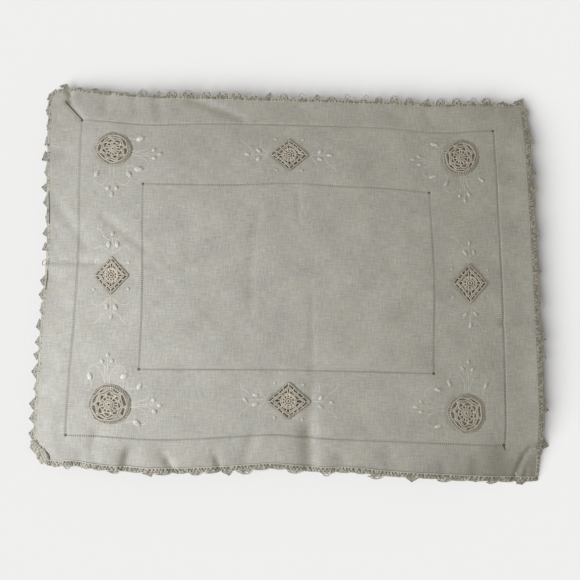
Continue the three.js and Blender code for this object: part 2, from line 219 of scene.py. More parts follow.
def in_opening(u, v, rosette=1.0, lozenge=1.0):
    """The given value inside an opening for crochet, a little uneven, and 0 on the linen."""
    inside = 0 * u
    for centre_u, centre_v, half_u, half_v in ROSETTES.values():
        off_u, off_v = (u - centre_u) / half_u, (v - centre_v) / half_v
        reach = np.hypot(off_u, off_v)
        uneven = 0.78 + 0.22 * np.sin(5 * off_u + centre_u) * np.sin(6 * off_v + centre_v)
        uneven = uneven + 0.22 * (off_u**2 - off_v**2)
        inside = np.maximum(inside, rosette * uneven * (1 - smooth(0.82, 0.93, reach)))
        cut_edge = 1 - smooth(0.03, 0.09, np.abs(reach - 1.0))
        inside = np.maximum(inside, 0.6 * rosette * uneven * cut_edge)
    for centre_u, centre_v, half_u, half_v in LOZENGES.values():
        off_u, off_v = (u - centre_u) / half_u, (v - centre_v) / half_v
        reach = np.abs(off_u) + np.abs(off_v)
        uneven = 0.8 + 0.25 * np.sin(7 * off_u + centre_u) * np.sin(6 * off_v + centre_v)
        inside = np.maximum(inside, lozenge * uneven * (1 - smooth(0.90, 1.0, reach)))
    return inside


def line_strength(u, v):
    """How open a drawn line is: it has closed up here and there in the wash."""
    strength = 0.61 + 0.14 * np.sin(u / 23 + 1.2) * np.cos(v / 19) + 0.08 * np.sin(u / 7.1 + v / 8.3)
    strength = strength - 0.06 * u / HALF_LENGTH - (0.13 * v + 0.05 * np.abs(v)) / HALF_WIDTH
    strength = np.clip(strength + 0.12 * smooth(160, 172, u), 0.22, 1)
    return strength * (1 - 0.36 * smooth(-160, -172, u) * (1 - smooth(-95, -125, v)))


def in_drawn_line(u, v):
    """1 in the open line that the drawn threads leave and in the open mitre, 0 beside them."""
    inside = 0 * u
    for u0, v0, u1, v1, wide in OPEN_MITRES:
        off, _ = from_line(u, v, u0, v0, u1, v1)
        inside = np.maximum(inside, 1 - smooth(0.2, wide, off))
    for line_u, line_v in (HEM_LINE, FIELD_LINE):
        off_u, off_v = np.abs(u) - line_u, np.abs(v) - line_v
        off = np.abs(np.maximum(off_u, off_v))
        half = np.where(off_u > off_v, GROOVE_HALF, GROOVE_HALF_LEVEL)
        inside = np.maximum(inside, line_strength(u, v) * (1 - smooth(half, half + 0.3, off)))
        corner = np.maximum(np.abs(off_u), np.abs(off_v))
        inside = np.maximum(inside, 1 - smooth(CORNER_HOLE, CORNER_HOLE + 0.35, corner))
    return inside


def corner_shade(u, v):
    """Painted shade on the linen: the lower right corner, which sinks and turns from the light, is darkened.
    """
    return CORNER_SHADE * gauss((u - CORNER_SHADE_PLACE[0]) / CORNER_SHADE_REACH[0]) * gauss((v - CORNER_SHADE_PLACE[1]) / CORNER_SHADE_REACH[1])


def on_linen(u, v, lift=0.0):
    """Places on the linen's front, lifted off it, and the outward normals there."""
    u, v = np.asarray(u, float), np.asarray(v, float)
    step = 0.25

    def place(u, v):
        return np.stack([*lie(u, v), cloth_height(u, v)], axis=-1)

    along_u = place(u + step, v) - place(u - step, v)
    along_v = place(u, v + step) - place(u, v - step)
    normal = unit(np.cross(along_u, along_v))
    return place(u, v) + normal * np.asarray(lift)[..., None], normal


def grid_lines(half, hem, field):
    """Mesh lines across the linen, closer together at the seam and at the drawn threads."""
    edge = half - np.array([0, 0.5, 1.2, 2.2, 3.4, 4.8])
    near = np.array([2.0, 1.35, 0.95, 0.6, 0, -0.6, -0.95, -1.35, -2.0])

    def between(start, end, step):
        return np.linspace(start, end, round((start - end) / step) + 1)[1:-1]

    outer_half = np.concatenate([
        edge, between(edge[-1], hem + 2, 1.3), hem + near, between(hem - 2, field + 2, 1.5),
        field + near, between(field - 2, 0, 1.7),
    ])
    return np.concatenate([-outer_half, [0], outer_half[::-1]])


def mesh_object(name, points, faces=(), edges=(), uv=None, marks=None):
    """A smooth mesh object from points in millimetres, with a uv and other marks for each point."""
    mesh = bpy.data.meshes.new(name)
    mesh.from_pydata(np.asarray(points) * MM, edges, faces)
    mesh.polygons.foreach_set("use_smooth", np.ones(len(mesh.polygons), bool))
    if uv is not None:
        corners = np.empty(len(mesh.loops), np.int32)
        mesh.loops.foreach_get("vertex_index", corners)
        layer = mesh.uv_layers.new(name="cloth")
        layer.data.foreach_set("uv", np.asarray(uv, np.float32)[corners].ravel())
    for mark, values in (marks or {}).items():
        values = np.asarray(values)
        if values.ndim == 2:
            mesh.attributes.new(mark, "FLOAT_VECTOR", "POINT").data.foreach_set("vector", values.ravel())
        elif values.dtype.kind == "i":
            mesh.attributes.new(mark, "INT", "POINT").data.foreach_set("value", values)
        else:
            mesh.attributes.new(mark, "FLOAT", "POINT").data.foreach_set("value", values)
    mesh.update()
    made = bpy.data.objects.new(name, mesh)
    bpy.context.scene.collection.objects.link(made)
    return made


def cover_mesh():
    """The filled cover: a grid for its front, then rings for its back down to the table."""
    lines_u = grid_lines(HALF_LENGTH, HEM_LINE[0], FIELD_LINE[0])
    lines_v = grid_lines(HALF_WIDTH, HEM_LINE[1], FIELD_LINE[1])
    u, v = np.meshgrid(lines_u, lines_v)
    # Painted shade: dark where the openings, the drawn lines and the open mitres show the inside
    gap = np.maximum(in_opening(u, v, ROSETTE_SHADE, LOZENGE_SHADE), in_drawn_line(u, v))
    # Painted shade on the lower right corner, which sinks and turns from the light
    gap = np.maximum(gap, corner_shade(u, v))
    height = cloth_height(u, v) - OPENING_DEPTH * in_opening(u, v) - GROOVE_DEPTH * in_drawn_line(u, v)
    points = [np.stack([*lie(u, v), height], axis=-1).reshape(-1, 3)]
    cloth = [np.stack([u, v], axis=-1).reshape(-1, 2)]
    index = np.arange(u.size).reshape(u.shape)
    corners = np.stack([index[:-1, :-1], index[:-1, 1:], index[1:, 1:], index[1:, :-1]], axis=-1)
    # Faces are divided towards their own corner of the cover, so that a diagonal crease stays clean
    other_way = (lines_u[:-1] * lines_v[:-1, None] < 0)[..., None]
    faces = np.where(other_way, np.roll(corners, -1, axis=-1), corners).reshape(-1, 4).tolist()
    # The back: rings from the seam inwards and down to the table, then one flat face that rests on it
    rim = np.concatenate([index[0, :-1], index[:-1, -1], index[-1, :0:-1], index[:0:-1, 0]])
    rim_u, rim_v, rim_height = u.ravel()[rim], v.ravel()[rim], height.ravel()[rim]
    after = np.roll(np.arange(len(rim)), -1)
    ring, used = rim, u.size
    for step in (1.5, 4, 8, 14, 21, 30, 40, 50, UNDER_REACH):
        ring_u, ring_v = rim_u * (1 - step / HALF_LENGTH), rim_v * (1 - step / HALF_WIDTH)
        points.append(np.stack([*lie(ring_u, ring_v), rim_height * (1 - step / UNDER_REACH) ** 2], axis=-1))
        cloth.append(np.stack([ring_u, ring_v], axis=-1))
        inner = used + np.arange(len(rim))
        used += len(rim)
        faces += np.stack([ring, inner, inner[after], ring[after]], axis=-1).tolist()
        ring = inner
    faces.append(ring[::-1].tolist())
    marks = {"gap": np.concatenate([gap.ravel(), np.zeros(used - gap.size)])}
    cloth = np.concatenate(cloth) * MM
    return mesh_object("linen_cover_cloth", np.concatenate(points), faces, (), cloth, marks)


def add_node(tree, kind, inputs=None, **settings):
    """A node with its settings made; its inputs are values or other nodes' outputs."""
    made = tree.nodes.new(kind)
    for name, value in settings.items():
        setattr(made, name, value)
    for key, value in (inputs or {}).items():
        if isinstance(value, bpy.types.NodeSocket):
            tree.links.new(value, made.inputs[key])
        else:
            made.inputs[key].default_value = value
    return made


def maths(tree, operation, *values):
    return add_node(tree, "ShaderNodeMath", dict(enumerate(values)), operation=operation).outputs[0]


COOL_LINEN, WARM_LINEN = (0.482, 0.478, 0.439, 1), (0.518, 0.488, 0.406, 1)
# Colour of the painted shade in the openings, the drawn lines, the open mitres and the sinking corner
PAINTED_SHADE_COLOUR = (0.135, 0.118, 0.085, 1)
THREAD_PITCH = 0.00055


def linen_material():
    """Plain weave with uneven threads, cloudy from washing, with painted shade where an opening shows the
    inside and on one corner.
    """
    material = bpy.data.materials.new("washed_linen")
    material.use_nodes = True
    tree = material.node_tree
    shader = tree.nodes["Principled BSDF"]
    cloth = add_node(tree, "ShaderNodeUVMap", uv_map="cloth").outputs["UV"]
    scaled = {0: cloth, "Scale": 1 / THREAD_PITCH}
    in_threads = add_node(tree, "ShaderNodeVectorMath", scaled, operation="SCALE").outputs[0]
    threads = add_node(tree, "ShaderNodeSeparateXYZ", {0: in_threads}).outputs
    warp = maths(tree, "SINE", maths(tree, "MULTIPLY", threads[0], math.pi))
    weft = maths(tree, "SINE", maths(tree, "MULTIPLY", threads[1], math.pi))
    crossing = maths(tree, "MULTIPLY", warp, weft)
    weave = maths(tree, "POWER", maths(tree, "ABSOLUTE", crossing), 0.6)

    def slub(stretch):
        """Uneven thread thickness: noise drawn out along the thread."""
        drawn = add_node(tree, "ShaderNodeVectorMath", {0: in_threads, 1: stretch}, operation="MULTIPLY")
        noise = {"Vector": drawn.outputs[0], "Scale": 1.0, "Detail": 2.0}
        return add_node(tree, "ShaderNodeTexNoise", noise).outputs[0]

    def clouds(scale, detail):
        noise = {"Vector": cloth, "Scale": scale, "Detail": detail}
        return add_node(tree, "ShaderNodeTexNoise", noise).outputs[0]

    slubs = maths(tree, "ADD", slub((0.6, 0.06, 0)), slub((0.06, 0.6, 0)))
    tone = maths(tree, "MULTIPLY_ADD", slubs, 0.48, 0.52)
    tone = maths(tree, "MULTIPLY_ADD", crossing, 0.05, tone)
    tone = maths(tree, "ADD", tone, maths(tree, "MULTIPLY_ADD", clouds(38.0, 4.0), 0.40, -0.20))
    tone = maths(tree, "ADD", tone, maths(tree, "MULTIPLY_ADD", clouds(640.0, 3.0), 0.36, -0.18))
    hue = {0: clouds(60.0, 2.0), 6: COOL_LINEN, 7: WARM_LINEN}
    tint = add_node(tree, "ShaderNodeMix", hue, data_type="RGBA").outputs[2]
    tinted = add_node(tree, "ShaderNodeVectorMath", {0: tint, "Scale": tone}, operation="SCALE")
    # Painted shade: the mark mixes the linen's colour towards the shade colour
    gap = add_node(tree, "ShaderNodeAttribute", attribute_name="gap").outputs["Fac"]
    shaded = {0: gap, 6: tinted.outputs[0], 7: PAINTED_SHADE_COLOUR}
    colour = add_node(tree, "ShaderNodeMix", shaded, data_type="RGBA")
    tree.links.new(colour.outputs[2], shader.inputs["Base Color"])
    height = maths(tree, "MULTIPLY_ADD", slubs, 0.8, maths(tree, "MULTIPLY", weave, 0.5))
    bump = add_node(tree, "ShaderNodeBump", {"Height": height, "Strength": 0.6, "Distance": 0.00012})
    tree.links.new(bump.outputs[0], shader.inputs["Normal"])
    shader.inputs["Roughness"].default_value = 0.92
    shader.inputs["Specular IOR Level"].default_value = 0.2
    shader.inputs["Sheen Weight"].default_value = 0.08
    return material


linen = linen_material()
cover = cover_mesh()
cover.data.materials.append(linen)
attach(cover, "root")
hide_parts("linen_cover")

# Drawn-thread bars
# Threads were pulled out along two lines and the ones left standing are tied into small bundles by a fine
# linen thread, so the open line shows a bar every 1.7 millimetres. The bars are linen like the cover.
BAR_PITCH, BAR_HALF, BAR_RADIUS, BAR_WAIST, BAR_SINK = 1.70, 1.25, 0.66, 0.54, 0.38


def grow(made, tree, values):
    """Runs a Geometry Nodes tree on an object once and keeps its result as a plain mesh."""
    modifier = made.modifiers.new(tree.name, "NODES")
    modifier.node_group = tree
    for item in tree.interface.items_tree:
        if item.in_out == "INPUT" and item.name in values:
            modifier[item.identifier] = values[item.name]
    graph = bpy.context.evaluated_depsgraph_get()
    evaluated = made.evaluated_get(graph)
    grown = bpy.data.meshes.new_from_object(evaluated, preserve_all_data_layers=True, depsgraph=graph)
    made.modifiers.clear()
    places, made.data = made.data, grown
    bpy.data.meshes.remove(places)
    grown.name = made.name
    return made


def named_attribute(tree, name, data_type):
    made = add_node(tree, "GeometryNodeInputNamedAttribute", {"Name": name}, data_type=data_type)
    return made.outputs["Attribute"]


def new_tree(name, inputs, output):
    """A Geometry Nodes tree with its sockets, its input node and its output node."""
    tree = bpy.data.node_groups.new(name, "GeometryNodeTree")
    for socket, kind in inputs.items():
        tree.interface.new_socket(socket, in_out="INPUT", socket_type=kind)
    tree.interface.new_socket(output, in_out="OUTPUT", socket_type="NodeSocketGeometry")
    return tree, add_node(tree, "NodeGroupInput").outputs


def end_tree(tree, geometry, thread):
    """Ends a tree in plain geometry of one material."""
    realized = add_node(tree, "GeometryNodeRealizeInstances", {0: geometry}).outputs[0]
    coloured = add_node(tree, "GeometryNodeSetMaterial", {"Geometry": realized, "Material": thread})
    add_node(tree, "NodeGroupOutput", {0: coloured.outputs[0]})
    return tree


def thread_tree():
    """Round threads along paths, marked with the length along and the place across for the ply."""
    sockets = {"Paths": "NodeSocketGeometry", "Sides": "NodeSocketInt", "Thread": "NodeSocketMaterial"}
    tree, given = new_tree("round_threads", sockets, "Threads")
    curves = add_node(tree, "GeometryNodeMeshToCurve", {0: given["Paths"]}).outputs[0]
    length = add_node(tree, "GeometryNodeSplineParameter").outputs["Length"]
    store = {"Geometry": curves, "Name": "along", "Value": length}
    marked = add_node(tree, "GeometryNodeStoreNamedAttribute", store, data_type="FLOAT").outputs[0]
    circle = add_node(tree, "GeometryNodeCurvePrimitiveCircle", {"Resolution": given["Sides"], "Radius": 1.0})
    position = add_node(tree, "GeometryNodeInputPosition").outputs[0]
    store = {"Geometry": circle.outputs[0], "Name": "across", "Value": position}
    section = add_node(tree, "GeometryNodeStoreNamedAttribute", store, data_type="FLOAT_VECTOR").outputs[0]
    sweep = {"Curve": marked, "Profile Curve": section, "Fill Caps": True}
    sweep["Scale"] = named_attribute(tree, "radius", "FLOAT")
    tubes = add_node(tree, "GeometryNodeCurveToMesh", sweep).outputs[0]
    soft = add_node(tree, "GeometryNodeSetShadeSmooth", {"Geometry": tubes}).outputs[0]
    return end_tree(tree, soft, given["Thread"])


def stitch_tree():
    """One stitch at each place: its kind, turn and size are marks on the places."""
    sockets = {
        "Places": "NodeSocketGeometry", "Kinds": "NodeSocketCollection", "Unevenness": "NodeSocketFloat",
        "Seed": "NodeSocketInt", "Thread": "NodeSocketMaterial",
    }
    tree, given = new_tree("stitches_at_places", sockets, "Stitches")
    picked = {"Collection": given["Kinds"], "Separate Children": True, "Reset Children": True}
    kinds = add_node(tree, "GeometryNodeCollectionInfo", picked).outputs[0]
    turn = named_attribute(tree, "turn", "FLOAT_VECTOR")
    rotation = add_node(tree, "FunctionNodeEulerToRotation", {0: turn}).outputs[0]
    least = maths(tree, "SUBTRACT", 1.0, given["Unevenness"])
    most = maths(tree, "ADD", 1.0, given["Unevenness"])
    limits = {2: least, 3: most, 8: given["Seed"]}
    chance = add_node(tree, "FunctionNodeRandomValue", limits, data_type="FLOAT")
    size = named_attribute(tree, "size", "FLOAT_VECTOR")
    uneven = add_node(tree, "ShaderNodeVectorMath", {0: size, "Scale": chance.outputs[1]}, operation="SCALE")
    stitches = {
        "Points": given["Places"], "Instance": kinds, "Pick Instance": True,
        "Instance Index": named_attribute(tree, "kind", "INT"),
        "Rotation": rotation, "Scale": uneven.outputs[0],
    }
    placed = add_node(tree, "GeometryNodeInstanceOnPoints", stitches).outputs[0]
    return end_tree(tree, placed, given["Thread"])


ROUND_THREADS, STITCHES = thread_tree(), stitch_tree()


def spin(name, paths, thread, sides=6, shade=0.0):
    """One mesh of round threads; each path is its points, its radius and whether it closes, in millimetres.
    Shade, from 0 to 1, darkens the threads: painted shade on those that lie under or behind others, a darker
    tone on some others."""
    points = np.concatenate([path for path, radius, closed in paths])
    radii = np.concatenate([np.broadcast_to(radius, len(path)) for path, radius, closed in paths])
    edges, used = [], 0
    for path, radius, closed in paths:
        index = used + np.arange(len(path))
        edges.append(np.stack([index, np.roll(index, -1)], axis=-1)[: None if closed else -1])
        used += len(path)
    marks = {"radius": radii * MM, "shade": np.full(len(points), shade)}
    made = mesh_object(name, points, (), np.concatenate(edges), marks=marks)
    return grow(made, ROUND_THREADS, {"Sides": sides, "Thread": thread})


def stitch_kinds(name, motifs):
    """A drawer of stitch shapes for the tree to pick from, in the order of their names."""
    drawer = bpy.data.collections.new(name)
    bpy.context.scene.collection.children.link(drawer)
    for motif in motifs:
        bpy.context.scene.collection.objects.unlink(motif)
        drawer.objects.link(motif)
    return drawer


def empty_drawer(drawer):
    for motif in list(drawer.objects):
        bpy.data.objects.remove(motif)
    bpy.data.collections.remove(drawer)


def sew(name, places, axes, sizes, kinds, drawer, thread, uneven=0.0, seed=1):
    """One mesh of stitches at places in millimetres, each turned so that its own axes lie along axes."""
    turns = [Matrix(rows).transposed().to_euler() for rows in np.asarray(axes)]
    sizes = np.broadcast_to(sizes, (len(places), 3))
    kinds = np.broadcast_to(kinds, len(places)).astype(np.int32)
    marks = {"turn": np.array(turns), "size": sizes, "kind": kinds}
    made = mesh_object(name, places, marks=marks)
    values = {"Kinds": drawer, "Unevenness": uneven, "Seed": seed, "Thread": thread}
    return grow(made, STITCHES, values)


def line_places(line, pitch):
    """Even places along a drawn line with the direction across it: u, v, across u, across v."""
    places = []
    for axis in (0, 1):
        half, other = line[1 - axis], line[axis]
        count = round((2 * half - 3) / pitch)
        run = (np.arange(count) + 0.5) / count * (2 * half - 3) - (half - 1.5)
        for side in (-1, 1):
            at = np.full(count, side * other)
            flat = (at, run) if axis == 0 else (run, at)
            places.append(np.stack([*flat, np.full(count, 1 - axis), np.full(count, axis)], axis=-1))
    return np.concatenate(places)


def axes_on_linen(u, v, turn_u, turn_v, lift):
    """Places on the linen and axes there: first along a direction of the cloth, last off the cloth."""
    places, normals = on_linen(u, v, lift)
    ahead = on_linen(u + 0.5 * turn_u, v + 0.5 * turn_v, lift)[0] - places
    across = unit(np.cross(normals, ahead))
    return places, np.stack([np.cross(across, normals), across, normals], axis=1)


bar_run = np.linspace(-BAR_HALF, BAR_HALF, 5)
bar_width = BAR_WAIST + (BAR_RADIUS - BAR_WAIST) * (bar_run / BAR_HALF) ** 2
bar_path = np.stack([bar_run, 0 * bar_run, 0.05 - 0.55 * (bar_run / BAR_HALF) ** 2], axis=-1)
bar_kinds = stitch_kinds("bar_kinds", [spin("bar", [(bar_path, bar_width, False)], linen, sides=5)])
bar_rows = np.concatenate([line_places(line, BAR_PITCH) for line in (HEM_LINE, FIELD_LINE)])
bar_places, bar_axes = axes_on_linen(*bar_rows.T, -BAR_SINK)
bars = sew("drawn_thread_bars", bar_places, bar_axes, (1, 1, 1), 0, bar_kinds, linen, uneven=0.12, seed=11)
empty_drawer(bar_kinds)
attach(bars, "root")

# Open mitre
# At one corner the hand-sewn mitre of the hem has come open: the folded edges of the two hems lie side by
# side as two narrow rolls of linen with a slit between them.
ROLL_RADIUS, ROLL_SWELL, ROLL_SINK = 0.3, 0.12, 0.2
SLIT_HALF, SLIT_BULGE = 0.55, 0.25
inner_u, inner_v, outer_u, outer_v, _ = OPEN_MITRES[0]
mitre_run = np.linspace(0.0, 1.0, 14)
mitre_u = inner_u + (outer_u - inner_u) * mitre_run
mitre_v = inner_v + (outer_v - inner_v) * mitre_run
mitre_width = ROLL_RADIUS + ROLL_SWELL * np.sin(math.pi * mitre_run)
mitre_rolls = []
for side in (-1, 1):
    apart = side * (SLIT_HALF + SLIT_BULGE * np.sin(math.pi * mitre_run))
    roll_places = on_linen(mitre_u + apart, mitre_v + apart, -ROLL_SINK)[0]
    mitre_rolls.append((roll_places, mitre_width, False))
mitre = spin("open_mitre_edges", mitre_rolls, linen, sides=8)
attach(mitre, "root")

# Crochet rosettes
# Four round insets, hooked from ecru cotton thread in rounds from the middle out: a closed centre, posts, two
# wavy rounds, bridges over an open round, and a firm border that is overcast to the linen's cut edge.
CROCHET_COLOUR = (0.662, 0.605, 0.497, 1)
ROSETTE_RADIUS = 16.6
STITCH_HALF, ROSETTE_STITCHES, ROSETTE_STITCH_LENGTH = 1.5, 62, 2.3


def spun_thread_group():
    """Ply of a spun thread: ridges that wind round it, a slow change of tone along it, and the darkening by
    its shade mark.
    """
    group = bpy.data.node_groups.new("spun_thread", "ShaderNodeTree")
    group.interface.new_socket("Lay", in_out="INPUT", socket_type="NodeSocketFloat")
    group.interface.new_socket("Tone", in_out="OUTPUT", socket_type="NodeSocketFloat")
    group.interface.new_socket("Ridge", in_out="OUTPUT", socket_type="NodeSocketFloat")
    lay = add_node(group, "NodeGroupInput").outputs["Lay"]
    along = add_node(group, "ShaderNodeAttribute", attribute_name="along").outputs["Fac"]
    across = add_node(group, "ShaderNodeAttribute", attribute_name="across").outputs["Vector"]
    parts = add_node(group, "ShaderNodeSeparateXYZ", {0: across}).outputs
    turn = maths(group, "MULTIPLY", maths(group, "ARCTAN2", parts[1], parts[0]), 3.0)
    wound = maths(group, "MULTIPLY", maths(group, "DIVIDE", along, lay), 2 * math.pi)
    ridge = maths(group, "SINE", maths(group, "ADD", turn, wound))
    place = add_node(group, "ShaderNodeTexCoord").outputs["Object"]
    noise = {"Vector": place, "Scale": 160.0, "Detail": 3.0}
    clouds = add_node(group, "ShaderNodeTexNoise", noise).outputs[0]
    tone = maths(group, "MULTIPLY_ADD", clouds, 0.5, 0.75)
    tone = maths(group, "MULTIPLY_ADD", ridge, 0.07, tone)
    # The shade mark darkens the tone: painted shade on threads under or behind others, a darker tone on some
    # others
    shade = add_node(group, "ShaderNodeAttribute", attribute_name="shade").outputs["Fac"]
    tone = maths(group, "MULTIPLY", tone, maths(group, "SUBTRACT", 1.0, shade))
    add_node(group, "NodeGroupOutput", {"Tone": tone, "Ridge": ridge})
    return group


SPUN_THREAD = spun_thread_group()


def thread_material(name, colour, lay, roughness, sheen):
    """Cotton thread of one colour; lay is the length in metres over which its ply winds once."""
    material = bpy.data.materials.new(name)
    material.use_nodes = True
    tree = material.node_tree
    shader = tree.nodes["Principled BSDF"]
    ply = add_node(tree, "ShaderNodeGroup", node_tree=SPUN_THREAD)
    ply.inputs["Lay"].default_value = lay
    tone = {0: colour[:3], "Scale": ply.outputs["Tone"]}
    tinted = add_node(tree, "ShaderNodeVectorMath", tone, operation="SCALE")
    tree.links.new(tinted.outputs[0], shader.inputs["Base Color"])
    relief = {"Height": ply.outputs["Ridge"], "Strength": 0.5, "Distance": 0.00012}
    bump = add_node(tree, "ShaderNodeBump", relief)
    tree.links.new(bump.outputs[0], shader.inputs["Normal"])
    shader.inputs["Roughness"].default_value = roughness
    shader.inputs["Specular IOR Level"].default_value = 0.2
    shader.inputs["Sheen Weight"].default_value = sheen
    return material


crochet = thread_material("ecru_crochet_thread", CROCHET_COLOUR, lay=0.0030, roughness=0.9, sheen=0.1)


def polar(radius, turn, lift):
    """Flat places round a middle, each lifted off the flat."""
    radius, turn, lift = np.broadcast_arrays(radius, turn, np.asarray(lift, float))
    return np.stack([radius * np.cos(turn), radius * np.sin(turn), lift], axis=-1)


def around(count):
    return np.arange(count) / count * 2 * math.pi


def plied(path, spread, pitch, closed):
    """Two strands that wind round a flat path, as a crocheted chain looks from above."""
    ahead = np.roll(path, -1, axis=0) - np.roll(path, 1, axis=0)
    if not closed:
        ahead[0], ahead[-1] = path[1] - path[0], path[-1] - path[-2]
    aside = unit(np.cross(ahead, (0, 0, 1)))
    steps = np.linalg.norm(np.diff(path, axis=0, append=path[:1]), axis=-1)
    run = np.concatenate([[0], np.cumsum(steps)[:-1]])
    whole = run[-1] + (steps[-1] if closed else 0)
    wind = 2 * math.pi * run / whole * max(1, round(whole / pitch))
    strands = []
    for phase in (0, math.pi):
        swing = np.cos(wind + phase)[:, None] * aside
        rise = np.sin(wind + phase)[:, None] * np.array([0, 0, 1])
        strands.append(path + spread * (swing + rise))
    return strands


def chain(path, thickness, pitch=2.0, closed=True):
    """A crocheted chain along a flat path: two strands, thickness across both."""
    strands = plied(path, 0.26 * thickness, pitch, closed)
    return [(strand, 0.27 * thickness, closed) for strand in strands]


def rosette_threads(seed):
    """Flat paths of one rosette round its own middle: points, thread radius and whether the path closes."""
    chance = np.random.default_rng(seed)
    start = chance.uniform(0, 2 * math.pi)
    lobes = 8
    paths = [(polar(1.4, around(12), 1.1), 0.62, True)]
    for radius, lift in ((2.7, 1.05), (3.9, 0.95), (6.9, 0.85)):
        ring = polar(radius + chance.uniform(-0.1, 0.1), around(round(radius * 11)), lift)
        paths += chain(ring, 1.3)
    for turn in start + around(13):
        turn = turn + chance.uniform(-0.09, 0.09)
        post = polar(np.linspace(3.9, 6.9, 4), turn + np.array([0, 0.02, 0.03, 0.03]), 0.8)
        paths.append((post, 0.52, False))
    # Two wavy rounds: the inner one dips to the ring between its lobes, the outer one follows it
    turns = around(128)
    lobe = np.cos(lobes * turns + start)
    uneven = -0.6 * np.cos(2 * turns + chance.uniform(-0.6, 0.6))
    paths += chain(polar(9.4 + 0.85 * lobe + 0.4 * uneven, turns, 0.95), 1.45)
    paths += chain(polar(11.1 + 0.55 * lobe + uneven, turns, 0.95), 1.4)
    for k in range(lobes):
        turn = (2 * math.pi * (k + 0.5) - start) / lobes + chance.uniform(-0.12, 0.12)
        for aside in (-0.05, 0.07):
            paths.append((polar(np.linspace(7.0, 8.9, 3), turn + aside, 0.8), 0.5, False))
        turn = (2 * math.pi * k - start) / lobes + chance.uniform(-0.12, 0.12)
        for aside in (-0.06, 0.05):
            paths.append((polar(np.linspace(11.4, 13.6, 3), turn + aside, 0.75), 0.5, False))
    paths += chain(polar(13.7, around(140), 0.9), 1.4)
    paths += chain(polar(16.1, around(150), 0.35), 0.8)
    return hand_worked(paths, chance, 0.03)


def hand_worked(paths, chance, stray):
    """The same paths as a hand makes them: not quite round, and with rounds that wander."""
    phases = chance.uniform(0, 2 * math.pi, 3)
    shaped = []
    for path, radius, closed in paths:
        turn, reach = np.arctan2(path[:, 1], path[:, 0]), np.hypot(path[:, 0], path[:, 1])
        wander = np.cos(3 * turn + phases[0]) + 0.7 * np.cos(5 * turn + phases[1])
        wander = 1 + stray * (wander + 0.6 * np.cos(9 * turn + phases[2] + 0.8 * reach))
        shaped.append((path * np.stack([wander, wander, 0 * wander + 1], axis=-1), radius, closed))
    return shaped


def border_places(outline, count):
    """Even places along a closed flat outline and the outward direction at each."""
    closed = np.concatenate([outline, outline[:1]])
    run = np.concatenate([[0], np.cumsum(np.linalg.norm(np.diff(closed, axis=0), axis=-1))])
    at = np.arange(count) / count * run[-1]
    places = np.stack([np.interp(at, run, closed[:, k]) for k in (0, 1)], axis=-1)
    ahead = np.roll(places, -1, axis=0) - np.roll(places, 1, axis=0)
    return places, unit(np.stack([ahead[:, 1], -ahead[:, 0]], axis=-1))


def lay_threads(name, paths, place, nominal, thread):
    """Threads drawn flat round a middle, stretched to the inset's own size and laid on the linen there."""
    laid = []
    for path, radius, closed in paths:
        u = place[0] + path[:, 0] * place[2] / nominal
        v = place[1] + path[:, 1] * place[3] / nominal
        laid.append((on_linen(u, v, path[:, 2])[0], radius, closed))
    return spin(name, laid, thread)


def overcast(name, outline, count, place, length, drawer, seed):
    """Border stitches laid side by side across an outline, over the cut edge of the linen."""
    places, outward = border_places(outline, count)
    u, v = place[0] + places[:, 0], place[1] + places[:, 1]
    laid, axes = axes_on_linen(u, v, outward[:, 0], outward[:, 1], 0.3)
    size = (length / (2 * STITCH_HALF), 1, 1)
    return sew(name, laid, axes, size, 0, drawer, crochet, uneven=0.14, seed=seed)


def join(first, *others):
    """Makes one piece of several meshes."""
    pieces = [first, *others]
    with bpy.context.temp_override(active_object=first, selected_editable_objects=pieces):
        bpy.ops.object.join()
    return first


stitch_run = np.linspace(-STITCH_HALF, STITCH_HALF, 5)
stitch_rise = 0.7 * (1 - (stitch_run / STITCH_HALF) ** 2)
stitch_path = np.stack([stitch_run, 0.1 * stitch_run, stitch_rise], axis=-1)
border_stitch = spin("border_stitch", [(stitch_path, 0.40, False)], crochet, sides=5, shade=0.15)
border_kinds = stitch_kinds("border_kinds", [border_stitch])
for seed, (corner, place) in enumerate(ROSETTES.items()):
    paths = rosette_threads(seed)
    rosette = lay_threads("rosette_" + corner + "_crochet", paths, place, ROSETTE_RADIUS, crochet)
    lobes = 0.905 + 0.022 * np.cos(7 * around(72) + seed) + 0.015 * np.cos(3 * around(72) + 2 * seed)
    outline = polar(lobes, around(72), 0)[:, :2] * place[2:]
    stitches, length = ROSETTE_STITCHES, ROSETTE_STITCH_LENGTH
    border = overcast("rosette_border", outline, stitches, place, length, border_kinds, seed)
    join(rosette, border)
    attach(rosette, "root")
    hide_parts("rosette_" + corner)

# Crochet lozenges
# Four diamond insets of the same thread at the middles of the sides, hooked in rows round a small flower:
# cords that follow the diamond, bars that bridge the open rows between them, and the same overcast border.
LOZENGE_STITCHES, LOZENGE_STITCH_LENGTH = 64, 1.1


def diamond(share, points, softness=2):
    """Closed diamond path, its corners a little rounded, as a share of the half diagonals."""
    corners = np.array([(1, 0), (0, 1), (-1, 0), (0, -1)]) * share
    t = np.arange(points)[:, None] / points
    path = np.concatenate([corners[k] + (corners[(k + 1) % 4] - corners[k]) * t for k in range(4)])
    for _ in range(softness):
        path = (np.roll(path, 1, axis=0) + 2 * path + np.roll(path, -1, axis=0)) / 4
    return path


def with_lift(flat, lift):
    return np.concatenate([flat, np.full((len(flat), 1), float(lift))], axis=1)


